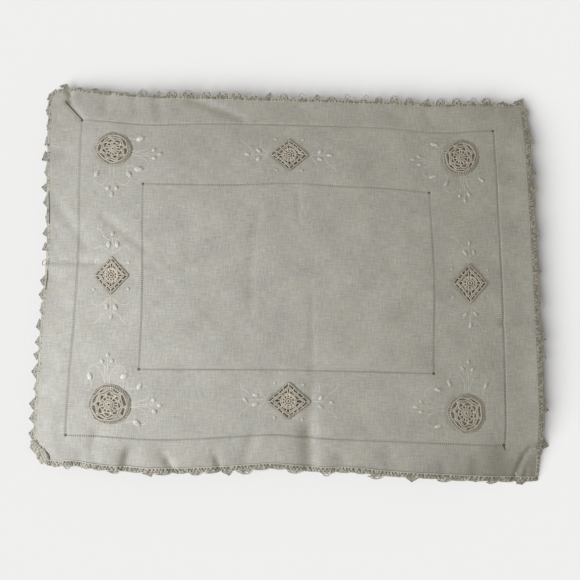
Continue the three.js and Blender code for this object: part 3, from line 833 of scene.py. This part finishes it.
def lozenge_threads(seed, half_u, half_v):
    """Flat paths of one lozenge round its own middle."""
    half = np.array([half_u, half_v])
    chance = np.random.default_rng(100 + seed)
    flower = 0.40 * min(half_u, half_v)
    paths = [(polar(1.3, around(12), 1.0), 0.6, True)]
    for radius, lift in ((2.9, 0.95), (flower, 0.85)):
        paths += chain(polar(radius, around(round(radius * 12)), lift), 1.3)
    paths.append((polar(0.55 * (flower + 2.9), around(36), 0.3), 0.75, True))
    for turn in around(10):
        turn = turn + chance.uniform(-0.08, 0.08)
        paths.append((polar(np.linspace(2.9, flower, 4), turn, 0.85), 0.6, False))
    for share, lift, thickness in ((0.665, 0.85, 1.3), (0.76, 0.95, 1.35), (0.945, 0.7, 1.0)):
        paths += chain(with_lift(diamond(share, round(32 * share)) * half, lift), thickness)
    ends = np.array([(1, 0), (0, 1), (-1, 0), (0, -1), (1, 0)]) * half

    def to_border(side, share, stray):
        at = share + chance.uniform(-stray, stray)
        return ends[side] * (1 - at) + ends[side + 1] * at

    for side in range(4):
        for share in (0.03, 0.27, 0.5, 0.74):
            bridge = np.linspace(0.76, 0.945, 3)[:, None] * to_border(side, share, 0.03)
            paths.append((with_lift(bridge, 0.75), 0.5, False))
        for share in (0.13, 0.5, 0.87):
            ray = to_border(side, share, 0.05)
            spoke = np.linspace(flower / np.linalg.norm(ray), 0.665, 3)[:, None] * ray
            paths.append((with_lift(spoke, 0.75), 0.45, False))
    return hand_worked(paths, chance, 0.02)


for seed, (side, place) in enumerate(LOZENGES.items()):
    paths = lozenge_threads(seed, *place[2:])
    lozenge = lay_threads("lozenge_" + side + "_crochet", paths, (*place[:2], 1, 1), 1, crochet)
    outline = diamond(0.99, 18, 1) * place[2:]
    stitches, length = LOZENGE_STITCHES, LOZENGE_STITCH_LENGTH
    border = overcast("lozenge_border", outline, stitches, place, length, border_kinds, 20 + seed)
    join(lozenge, border)
    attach(lozenge, "root")
    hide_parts("lozenge_" + side)
empty_drawer(border_kinds)

# Embroidery
# White cotton sprigs worked by hand on the linen beside every inset: padded satin-stitch buds, small dots and
# curling stems of short slanting stitches. They are sewing only, so no solid stands for them.
BUD_COLOUR, STEM_COLOUR = (0.76, 0.738, 0.668, 1), (0.72, 0.70, 0.63, 1)
STEM_STEP = 1.5
BUD, STEM = 0, 1
# How far each rosette's two sprigs lean to the side: the one along u, then the one along v
SPRIG_LEAN = {"nw": (-3.4, 0.4), "ne": (-3.2, 2.4), "se": (3.8, 2.2), "sw": (0.3, -3.8)}
white_thread = thread_material("white_embroidery_thread", BUD_COLOUR, lay=0.0024, roughness=0.7, sheen=0.2)
stem_thread = thread_material("dulled_embroidery_thread", STEM_COLOUR, lay=0.0024, roughness=0.8, sheen=0.1)


def bud_threads():
    """Satin stitch over a pad: threads side by side that arch from end to end of a small oval."""
    strands = []
    for row in np.linspace(-1, 1, 7):
        half = 2.05 * math.sqrt(1 - (0.86 * row) ** 2)
        run = np.linspace(-1, 1, 6)
        rise = 1.0 * math.sqrt(1 - (0.8 * row) ** 2) * np.maximum(0, 1 - run**2) ** 0.6
        strands.append((np.stack([half * run, 1.42 * row + 0 * run, rise], axis=-1), 0.36, False))
    return strands


def smooth_curve(knots, step):
    """Even places along a smooth curve through the knots, and the direction at each."""
    knots = np.asarray(knots, float)
    padded = np.concatenate([2 * knots[:1] - knots[1:2], knots, 2 * knots[-1:] - knots[-2:-1]])
    t = np.linspace(0, 1, 16)[:-1, None]
    fine = []
    for a, b, c, d in zip(padded, padded[1:], padded[2:], padded[3:]):
        fine.append(b + 0.5 * t * (c - a + t * (2 * a - 5 * b + 4 * c - d + t * (3 * (b - c) + d - a))))
    fine = np.concatenate([*fine, knots[-1:]])
    run = np.concatenate([[0], np.cumsum(np.linalg.norm(np.diff(fine, axis=0), axis=-1))])
    count = max(2, round(run[-1] / step))
    at = (np.arange(count) + 0.5) / count * run[-1]
    places = np.stack([np.interp(at, run, fine[:, k]) for k in (0, 1)], axis=-1)
    ahead = np.stack([np.interp(at + 0.2, run, fine[:, k]) for k in (0, 1)], axis=-1)
    behind = np.stack([np.interp(at - 0.2, run, fine[:, k]) for k in (0, 1)], axis=-1)
    return places, unit(ahead - behind)


def rosette_sprig():
    """One sprig from a rosette inwards: buds as along, across, turn, length, width; stems as knots."""
    buds = [(39.8, 0, 0, 1.1, 0.95)]
    stems = [[(16.5, -0.9), (23, -1.1), (30, -0.7)], [(16.5, 0.9), (23, 0.6), (29, 0.8), (36, 0.2)]]
    for side in (-1, 1):
        buds += [(34.6, 3.9 * side, 25 * side, 1.0, 1.0), (22.4, 14.4 * side, 28 * side, 1.75, 1.25)]
        stems.append([(16.5, 1.9 * side), (22.5, 2.5 * side), (28.5, 5.2 * side), (31.5, 9.7 * side),
                      (29.6, 14 * side), (25.6, 15.6 * side)])
        stems.append([(20.2, 13.2 * side), (17, 12.8 * side), (13.4, 13.4 * side)])
        stems.append([(28.5, 0.8 * side), (32.6, 3.1 * side)])
    return buds, stems


def lozenge_sprig():
    """The sprig from one end of a lozenge outwards, in the same form."""
    buds = [(34.2, 0, 0, 1.25, 1.0)]
    stems = [[(18.4, 0), (24, 0.3), (31.6, 0)]]
    for side in (-1, 1):
        buds += [(25.8, 3.7 * side, 18 * side, 1.3, 1.0), (11.4, 14.3 * side, 35, 0.62, 0.72)]
        stems.append([(18.2, 0.9 * side), (22.4, 6.3 * side), (24.2, 11 * side), (22.6, 15.6 * side)])
        stems.append([(29.5, 2.2 * side), (32.6, 7 * side), (36.6, 9.6 * side), (39.3, 13.6 * side)])
    return buds, stems


def place_sprig(sprig, place, along, lean, chance):
    """Stitches of one sprig on the linen: u, v, direction and size of each, then its kind.
    Those of the sprigs at the right are slimmer."""
    along = np.array(along, float)
    across = np.abs(along[::-1])
    stitches = []

    def on_cloth(points):
        points = np.atleast_2d(points).astype(float)
        sideways = points[:, 1:] + lean * np.minimum(1, points[:, :1] / 25)
        return place[:2] + points[:, :1] * along + sideways * across

    buds, stems = sprig
    for bud_along, bud_across, turn, length, width in buds:
        at = on_cloth((bud_along, bud_across) + chance.normal(0, 0.35, 2))[0]
        turn = math.radians(turn + chance.normal(0, 14))
        ahead = math.cos(turn) * along + math.sin(turn) * across
        scale = 0.86 * chance.uniform(0.9, 1.12)
        slim = width * (0.82 - 0.20 * place[0] / HALF_LENGTH)
        stitches.append((*at, *ahead, length * scale, slim * scale, slim * scale, BUD))
    fine = 0.85 - 0.25 * place[0] / HALF_LENGTH
    for knots in stems:
        knots = np.array(knots, float) + chance.normal(0, 0.3, (len(knots), 2))
        places, aheads = smooth_curve(on_cloth(knots), STEM_STEP)
        for at, ahead in zip(places, aheads):
            stitches.append((*at, *ahead, 1, fine, fine, STEM))
    return stitches


chance = np.random.default_rng(31)
stitches = []
for corner, place in ROSETTES.items():
    for axis in (0, 1):
        inwards = np.zeros(2)
        inwards[axis] = -np.sign(place[axis])
        stitches += place_sprig(rosette_sprig(), place, inwards, SPRIG_LEAN[corner][axis], chance)
for side, place in LOZENGES.items():
    for way in (-1, 1):
        outwards = (way, 0) if side in "ns" else (0, way)
        stitches += place_sprig(lozenge_sprig(), place, outwards, 0.6, chance)
stitches = np.array(stitches)
stem_path = np.array([(-1.2, -0.14, -0.25), (-0.5, -0.06, -0.1), (0.5, 0.06, -0.1), (1.2, 0.14, -0.25)])
bud_shape = spin("bud", bud_threads(), white_thread, sides=5)
stem_shape = spin("stem", [(stem_path, 0.30, False)], stem_thread, sides=5)
embroidered = [
    ("satin_buds", BUD, bud_shape, white_thread),
    ("stem_stitches", STEM, stem_shape, stem_thread),
]
for name, kind, shape, thread in embroidered:
    rows = stitches[stitches[:, 7] == kind]
    drawer = stitch_kinds(name + "_kinds", [shape])
    sewn_places, sewn_axes = axes_on_linen(*rows[:, :4].T, 0.05)
    sewn = sew(name, sewn_places, sewn_axes, rows[:, 4:7], 0, drawer, thread, uneven=0.06, seed=5)
    empty_drawer(drawer)
    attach(sewn, "root")

# Lace edging
# Narrow lace hooked from the same ecru thread and sewn to all four edges: one or two rows of short stitches,
# then a row of scallops. Along the top they stand open, on the left they come to points, elsewhere most hang.
LACE_COLOUR = (0.62, 0.588, 0.495, 1)
LACE_GAP, ROW, STITCH_PITCH, MITRE_REACH, CORNER_DROOP = 0.3, 1.75, 2.6, 12.0, 15.0
# Painted shade on the threads under the scallops, and how much the scallops' own threads and their tips are
# darkened
UNDER_SHADE, SCALLOP_SHADE, TIP_SHADE = 0.45, 0.08, 0.5
# The shapes of lace_motifs: short stitches, clean and dull, and the scallops by the letters of their names
SHORT, TALL, RING, DULL_SHORT = 0, 4, 5, 6
SCALLOP_LETTERS = " dnpto"
# For each side, clockwise: its first and last corner, its rows of stitches, the painted shade on them, which
# paints light below 0, and the painted shade on the back behind them, how far out and how high the seam lies,
# how high the stitches lie, the droop in degrees of the heading, of open scallops and of hanging ones, how
# far the first and the last scallop are from the corners, the least and the greatest size, and how each
# scallop
# lies: d open dome, n narrow, p point, t tall, o ring, in capitals if it hangs
LACE_SIDES = {
    "top": {
        "start": (-1, 1), "end": (1, 1), "rows": 1, "painted_side_shade": -0.1, "painted_shade_behind": 0.35,
        "seam": (-0.2, -0.4), "stitch_lift": 0, "droop": 6, "open_droop": -4, "hanging_droop": 50,
        "ends": (10, 3), "sizes": (0.75, 1.05), "scallops": "pNNPNdpdddddnpdnpdnndddpddndPt",
    },
    "right": {
        "start": (1, 1), "end": (1, -1), "rows": 2, "painted_side_shade": -0.06, "painted_shade_behind": 0.45,
        "seam": (-0.2, -0.6), "stitch_lift": 0, "droop": 16, "open_droop": 12, "hanging_droop": 40,
        "ends": (5.5, 10), "sizes": (0.8, 1.1), "scallops": "oDnDpnDDnDpDnDpnDDpDtN",
    },
    "bottom": {
        "start": (1, -1), "end": (-1, -1), "rows": 2, "painted_side_shade": 0, "painted_shade_behind": 0.42,
        "seam": (-0.9, 0.3), "stitch_lift": 0, "droop": 20, "open_droop": 30, "hanging_droop": 54,
        "ends": (11, 14), "sizes": (0.8, 1.2), "scallops": "pDdPDdNpDdDDnDdNDdpDdNDpDdNDnP",
    },
    "left": {
        "start": (-1, -1), "end": (-1, 1), "rows": 1, "painted_side_shade": 0.1, "painted_shade_behind": 0.1,
        "seam": (-0.2, -0.75), "stitch_lift": -0.7, "droop": 16, "open_droop": 8, "hanging_droop": 40,
        "ends": (25, 4), "sizes": (0.7, 1.1), "scallops": "pppPppppPppoppPppPpPPPP",
    },
}
# The lower end of the right side's lace is folded under: by how many degrees more, and from where
TUCK, TUCKED_FROM = 33.0, 291.0
# Where the lace has pulled away from the left edge, in millimetres from the lower corner; a dark thread
# paints the shadow in each slit
SEAM_SLITS = [(144, 161), (199, 226)]
lace_thread = thread_material("ecru_lace_thread", LACE_COLOUR, lay=0.0030, roughness=0.9, sheen=0.1)


def dull(made, shade):
    """Darkens the threads of a made piece a little more."""
    marks = made.data.attributes["shade"].data
    shades = np.zeros(len(marks))
    marks.foreach_get("value", shades)
    marks.foreach_set("value", 1 - (1 - shades) * (1 - shade))
    return made


def lace_motifs():
    """A short stitch and one scallop of each kind, drawn flat: along the edge, then outwards."""

    def arch(half, rise, points, power=0.8):
        turn = np.linspace(0, math.pi, points)
        return np.stack([-half * np.cos(turn), rise * np.sin(turn) ** power, 0 * turn], axis=-1)

    def shape(name, threads, under=(), tips=()):
        """Threads, the ones under them that close the mesh with painted shade, and the darkened tips."""
        made = spin(name, threads, lace_thread, sides=5, shade=SCALLOP_SHADE if under else 0.0)
        if under:
            lowered = [(np.array(path, float) - (0, 0, 0.8), radius, False) for path, radius in under]
            join(made, spin("under", lowered, lace_thread, sides=5, shade=UNDER_SHADE))
        if tips:
            join(made, spin("tips", tips, lace_thread, sides=5, shade=TIP_SHADE))
        return made

    stitch = []
    for way in (-1, 1):
        leg = np.array([(0.16, -0.6, 0.5), (0.34, 0.2, 0.6), (0.50, 1.1, 0.3), (0.45, 1.7, -0.1)])
        stitch.append((leg * (way, 1, 1), 0.40, False))
    dome = [(arch(4.8, 5.0, 15), 0.46, False), (polar(1.25, around(10), 0.1) + (0, 3.2, 0), 0.38, True)]
    narrow_bar = np.array([(-2.0, 2.6, 0), (0, 2.8, 0.1), (2.0, 2.6, 0)])
    narrow = [(arch(2.6, 6.2, 13, 0.7), 0.46, False), (narrow_bar, 0.38, False)]
    under_dome = [([(-2.4, 0.3, 0), (2.4, 0.3, 0)], 0.75), ([(-0.9, 1.4, 0), (0.9, 1.4, 0)], 0.6)]
    under_narrow = [([(-1.6, 0.4, 0), (1.6, 0.4, 0)], 0.8), ([(-1.3, 1.7, 0), (1.3, 1.7, 0)], 0.6)]
    for way in (-1, 1):
        dome += [(np.array([(6.6, 0.0, 0), (5.6, 0.4, 0.1), (4.6, 1.7, 0.1)]) * (way, 1, 1), 0.42, False)]
        for x in (1.1, 2.6):
            dome.append((np.array([(x, 0.1, 0.1), (1.15 * x, 2.3, 0.1)]) * (way, 1, 1), 0.38, False))
        under_dome.append((np.array([(3.8, 0.3, 0), (3.3, 2.0, 0), (1.9, 3.6, 0)]) * (way, 1, 1), 0.75))
        narrow += [(np.array([(5.6, 0.0, 0), (3.9, 1.1, 0.1), (2.5, 3.2, 0.1)]) * (way, 1, 1), 0.42, False)]
        narrow += [(np.array([(1.0, 0.1, 0.1), (1.1, 2.5, 0.1)]) * (way, 1, 1), 0.38, False)]
        under_narrow.append((np.array([(4.4, 0.3, 0), (3.0, 1.3, 0)]) * (way, 1, 1), 0.75))

    def peaked(half, rise, power, tilt):
        """A pointed scallop: its threads, and those under them."""
        share = np.linspace(-1, 1, 13)
        peak = (1 - np.abs(share)) ** power
        outer = np.stack([half * share + tilt * peak, rise * peak, 0 * share], axis=-1)
        inner = outer * (0.6, 0.46, 1)
        threads = [(outer, 0.44, False), (inner, 0.38, False)]
        threads += [(np.stack([inner[k], outer[k]]), 0.36, False) for k in (2, 4, 6, 8, 10)]
        return threads, [((outer + inner) / 2, 0.18 * half), (inner * 0.6, 0.16 * half)]

    point, under_point = peaked(5.4, 5.2, 0.8, -0.8)
    tip = [(point[0][0][5:8] * (0.9, 0.96, 1) + (0, 0, 0.15), 0.65, False)]
    tall, under_tall = peaked(4.4, 10.4, 1.1, 0.4)
    loop = polar(1.0, around(16), 0) * (3.0, 2.4, 1) + (0, 2.6, 0)
    bare = [(loop, 0.5, True), (loop * (0.92, 0.94, 1), 0.34, True)]
    dull_stitch = dull(shape("6_dull_stitch", stitch), 0.3)
    return [
        shape("0_stitch", stitch), shape("1_dome", dome, under_dome), shape("2_narrow", narrow, under_narrow),
        shape("3_point", point, under_point, tip), shape("4_tall", tall, under_tall),
        shape("5_ring", bare), dull_stitch,
    ]


def on_edge(side, run, out=0.0, extra_droop=0.0):
    """Places on a side's lace and axes there: along the edge, outwards, and off its upper face."""
    droop = LACE_SIDES[side]["droop"]
    tucked = TUCK if side == "right" else 0.0
    start = np.array(LACE_SIDES[side]["start"], float)
    end = np.array(LACE_SIDES[side]["end"], float)
    run = np.asarray(run, float)
    half = np.array([HALF_LENGTH, HALF_WIDTH])
    length = np.abs((end - start) * half).sum()

    def seam(run):
        u, v = ((start + (end - start) * (run / length)[:, None]) * half).T
        return np.stack([*lie(u, v), seam_height(u, v)], axis=-1)

    mitre = 1 - smooth(0, MITRE_REACH, np.minimum(run, length - run))[:, None]
    corner = np.where((run < length / 2)[:, None], start, end)
    plan = unit((start + end) / 2 * (1 - mitre) + corner / math.sqrt(2) * mitre)
    angle = droop + (CORNER_DROOP - droop) * mitre + np.reshape(extra_droop, (-1, 1))
    angle = np.radians(np.minimum(85, angle + tucked * smooth(TUCKED_FROM, TUCKED_FROM + 6, run)[:, None]))
    outward = np.concatenate([plan * np.cos(angle), -np.sin(angle)], axis=1)
    ahead = seam(run + 0.3) - seam(run - 0.3)
    ahead = unit(ahead - (ahead * outward).sum(axis=1, keepdims=True) * outward)
    foot = np.concatenate([plan * LACE_GAP, 0 * run[:, None]], axis=1)
    places = seam(run) + foot + outward * np.reshape(out, (-1, 1))
    return places, np.stack([ahead, outward, np.cross(ahead, outward)], axis=1)


def along_edge(side, first, last, out, lift, radius):
    """The path of a thread along one side's lace."""
    places, axes = on_edge(side, np.linspace(first, last, round((last - first) * 1.2)), out)
    return places + lift * axes[:, 2], radius, False


def heading(side, length):
    """What runs along one side's lace: the seam, a cord after each row of stitches, and their back with
    painted shade.
    """
    rows, seam = LACE_SIDES[side]["rows"], LACE_SIDES[side]["seam"]
    cords = [along_edge(side, 0.3, length - 0.3, *seam, 0.55)]
    cords += [along_edge(side, 0.3, length - 0.3, (row + 0.95) * ROW, -0.1, 0.3) for row in range(rows)]
    # The back threads under the stitches carry painted shade
    backs = [along_edge(side, 0.3, length - 0.3, (row + 0.4) * ROW, -0.75, 0.85) for row in range(rows)]
    made = spin("lace_" + side + "_crochet", cords, lace_thread, sides=5)
    shade = LACE_SIDES[side]["painted_shade_behind"]
    return join(made, spin("lace_back", backs, lace_thread, sides=6, shade=shade))


def lace_stitches(side, length, chance):
    """Places, axes, sizes and kinds of one side's short stitches and scallops."""
    lace_side = LACE_SIDES[side]
    rows, lying, ends = lace_side["rows"], lace_side["scallops"], lace_side["ends"]
    count, scallops = round(length / STITCH_PITCH), len(lying)
    parts = []
    for row in range(rows):
        run = (np.arange(count) + 0.5 * (1 + row) + chance.uniform(-0.3, 0.3, count)) / count * length
        places, axes = on_edge(side, np.minimum(run, length), row * ROW)
        places = places + lace_side["stitch_lift"] * axes[:, 2]
        parts.append((places, axes, chance.uniform(0.75, 1.25, (count, 3))))
    run = np.linspace(ends[0], length - ends[1], scallops) + chance.uniform(-1.2, 1.2, scallops)
    hangs = np.array([letter.isupper() for letter in lying])
    droop = np.where(hangs, lace_side["hanging_droop"], lace_side["open_droop"])
    droop = droop + chance.uniform(-8, 8, scallops)
    places, axes = on_edge(side, run, rows * ROW)[0], on_edge(side, run, 0, droop)[1]
    parts.append((places, axes, chance.uniform(*lace_side["sizes"], (scallops, 3))))
    places, axes, sizes = [np.concatenate(columns) for columns in zip(*parts)]
    kinds = [*chance.choice([SHORT, DULL_SHORT], rows * count, p=[0.65, 0.35])]
    kinds = np.array(kinds + [SCALLOP_LETTERS.index(letter.lower()) for letter in lying])
    along, outward, upward = axes.transpose(1, 0, 2)
    steady = np.where((kinds == TALL) | (kinds == RING), 0.2, 1)
    lean = np.radians(chance.normal(0, 12, len(places)) * steady)[:, None]
    leaning = along * np.cos(lean) + outward * np.sin(lean)
    axes = np.stack([leaning, outward * np.cos(lean) - along * np.sin(lean), upward], axis=1)
    return places, axes, sizes, kinds


def settle(made):
    """Lets what hangs down to the table come to rest on it."""
    points = np.zeros(3 * len(made.data.vertices))
    made.data.vertices.foreach_get("co", points)
    height = points[2::3] / MM
    near, least, easing = 1.2, 0.3, 0.9
    resting = least + easing * np.exp((np.minimum(height, near) - near) / easing)
    points[2::3] = MM * np.where(height > near, height, resting)
    made.data.vertices.foreach_set("co", points)
    made.data.update()


def over_corner(plan, lift):
    """Places above the linen near its lower left corner, sinking a little beyond its edge."""
    near_u, near_v = np.meshgrid(np.arange(-203, -175, 1.0), np.arange(-156, -122, 1.0))
    linen_x, linen_y = lie(near_u, near_v)
    apart = np.hypot(plan[:, :1] - linen_x.ravel(), plan[:, 1:] - linen_y.ravel())
    weight = gauss(apart / 1.5) + 1e-9 * gauss(apart / 20)
    height = (weight * cloth_height(near_u, near_v).ravel()).sum(axis=1) / weight.sum(axis=1)
    beyond = np.maximum(0, apart.min(axis=1) - 0.7)
    return np.column_stack([plan, height + lift - 0.45 * beyond])


def corner_flap(drawer):
    """The lace bunched up over the lower left corner: rows of short stitches on a back with painted shade,
    and a dark thread under their edge that paints its shadow."""
    middle = [(-204.6, -132.3), (-203.5, -138.3), (-199, -142), (-196.6, -146.6), (-194.6, -151)]
    width = np.array([1.8, 3.8, 3.6, 5.4, 3.8])
    centre, ahead = smooth_curve(middle, 2.3)
    half = np.interp(np.linspace(0, 4, len(centre)), np.arange(5), width)
    inward = np.stack([-ahead[:, 1], ahead[:, 0]], axis=-1)
    chance = np.random.default_rng(53)
    places, turns, backs = [], [], []
    for share in (-0.85, -0.3, 0.25, 0.75):
        plan = centre + inward * (half * share)[:, None]
        backs.append((over_corner(plan, -0.3), 0.24 * half + 0.25, False))
        places.append(over_corner(plan + chance.normal(0, 0.4, plan.shape), 0.8))
        turns.append(np.stack([ahead, inward], axis=1))
    places, turns = np.concatenate(places), np.concatenate(turns)
    flat = np.concatenate([turns, np.zeros((len(turns), 2, 1))], axis=2)
    axes = np.concatenate([flat, np.broadcast_to((0.0, 0.0, 1.0), (len(turns), 1, 3))], axis=1)
    rim = np.concatenate([centre - inward * half[:, None], centre[-1:] + ahead[-1:] * 1.5])
    fold = [(-200.2, -136.3), (-196.7, -139.4), (-191.7, -143.4), (-190.7, -146.6), (-191.3, -150.6)]
    dark_line = over_corner(smooth_curve(fold, 1.0)[0], 0.15)
    kinds = chance.choice([SHORT, DULL_SHORT], len(places), p=[0.6, 0.4])
    made = spin("flap", [(over_corner(rim, 0.6), 0.55, False)], lace_thread, sides=5)
    # Painted shade on the back, and a painted shadow line under the flap's edge
    join(made, spin("flap_back", backs, lace_thread, sides=6, shade=0.22))
    join(made, spin("flap_shadow", [(dark_line, 0.42, False)], lace_thread, shade=0.9))
    size = (1, 0.9, 1)
    stitches = sew("flap_stitches", places, axes, size, kinds, drawer, lace_thread, uneven=0.2, seed=61)
    return join(made, stitches)


lace_kinds = stitch_kinds("lace_kinds", lace_motifs())
chance = np.random.default_rng(47)
for side in LACE_SIDES:
    length = 2 * (HALF_LENGTH if side in ("top", "bottom") else HALF_WIDTH)
    lace = heading(side, length)
    places, axes, sizes, kinds = lace_stitches(side, length, chance)
    stitches = sew("lace_stitches", places, axes, sizes, kinds, lace_kinds, lace_thread, uneven=0.05, seed=60)
    # Painted light and shade by side: each side's stitches are darkened, or brightened below 0
    join(lace, dull(stitches, LACE_SIDES[side]["painted_side_shade"]))
    if side == "left":
        # Painted shadow: dark threads in the slits where the lace has pulled away
        slits = [along_edge(side, first, last, -0.3, 0.4, 0.3) for first, last in SEAM_SLITS]
        join(lace, corner_flap(lace_kinds), spin("seam_slits", slits, lace_thread, sides=5, shade=0.55))
    settle(lace)
    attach(lace, "root")
    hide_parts("lace_" + side)
empty_drawer(lace_kinds)

# Table
# A plain pale table top that the sham lies on, matt and without a pattern. It is one flat face, only the
# stage for the picture and no part of the object.
TABLE_HALF = 9000
table_corners = [(x * TABLE_HALF, y * TABLE_HALF, 0) for x, y in ((-1, -1), (1, -1), (1, 1), (-1, 1))]
table = mesh_object("table", table_corners, [(0, 1, 2, 3)])
pale = bpy.data.materials.new("pale_table")
pale.use_nodes = True
shader = pale.node_tree.nodes["Principled BSDF"]
shader.inputs["Base Color"].default_value = (0.40, 0.40, 0.405, 1)
shader.inputs["Roughness"].default_value = 0.9
shader.inputs["Specular IOR Level"].default_value = 0.0
table.data.materials.append(pale)

# Light
# A soft window to the left lights the cloth and a pale room fills it. A wide lamp from the same side lights
# only the table top, which was evenly bright round the sham.
ROOM_COLOUR, ROOM_STRENGTH = (1.0, 0.975, 0.885, 1), 0.437
LAMP_PLACE, LAMP_AIM = Vector((-0.558, -0.218, 0.436)), Vector((0.02, 0, 0.02))
LAMP_COLOUR, LAMP_ENERGY, LAMP_SIZE = (0.96, 1.0, 1.13), 3.37, 0.26
TABLE_LIGHT_WAY, TABLE_LIGHT_ENERGY, TABLE_LIGHT_ANGLE = Vector((0.74, 0.50, -0.8)), 8.2, math.radians(56)
world = bpy.data.worlds.new("pale_room")
world.use_nodes = True
world.node_tree.nodes["Background"].inputs["Color"].default_value = ROOM_COLOUR
world.node_tree.nodes["Background"].inputs["Strength"].default_value = ROOM_STRENGTH
bpy.context.scene.world = world
lamp = bpy.data.lights.new("window_light", "AREA")
lamp.shape = "SQUARE"
lamp.size = LAMP_SIZE
lamp.energy = LAMP_ENERGY
lamp.color = LAMP_COLOUR
lamp_object = bpy.data.objects.new("window_light", lamp)
lamp_object.location = LAMP_PLACE
lamp_object.rotation_euler = (LAMP_AIM - LAMP_PLACE).to_track_quat("-Z", "Y").to_euler()
bpy.context.scene.collection.objects.link(lamp_object)
not_table = bpy.data.collections.new("not_table")
not_table.objects.link(table)
not_table.collection_objects[0].light_linking.link_state = "EXCLUDE"
lamp_object.light_linking.receiver_collection = not_table
table_only = bpy.data.collections.new("table_only")
table_only.objects.link(table)
table_light = bpy.data.lights.new("table_light", "SUN")
table_light.energy = TABLE_LIGHT_ENERGY
table_light.angle = TABLE_LIGHT_ANGLE
table_light_object = bpy.data.objects.new("table_light", table_light)
table_light_object.rotation_euler = TABLE_LIGHT_WAY.to_track_quat("-Z", "Y").to_euler()
table_light_object.light_linking.receiver_collection = table_only
bpy.context.scene.collection.objects.link(table_light_object)

# Camera
# It looks almost straight down on the sham from about 60 centimetres, from a little nearer the bottom edge,
# and is turned by less than a degree. Its picture is square.
TILT, ROLL, DISTANCE = math.radians(5.6), math.radians(0.68), 605.4
AIM = Vector((2.8, -6.5, 0))
FOCAL_PIXELS, IMAGE_PIXELS, SENSOR = 715, 580, 36
lens = bpy.data.cameras.new("view")
lens.sensor_width = SENSOR
lens.lens = SENSOR * FOCAL_PIXELS / IMAGE_PIXELS
camera = bpy.data.objects.new("view", lens)
back = Vector((0, -math.sin(TILT), math.cos(TILT)))
camera.matrix_world = (
    Matrix.Translation((AIM + back * DISTANCE) * MM)
    @ Matrix.Rotation(TILT, 4, "X")
    @ Matrix.Rotation(ROLL, 4, "Z")
)
bpy.context.scene.collection.objects.link(camera)
bpy.context.scene.camera = camera
bpy.context.scene.view_settings.view_transform = "Standard"
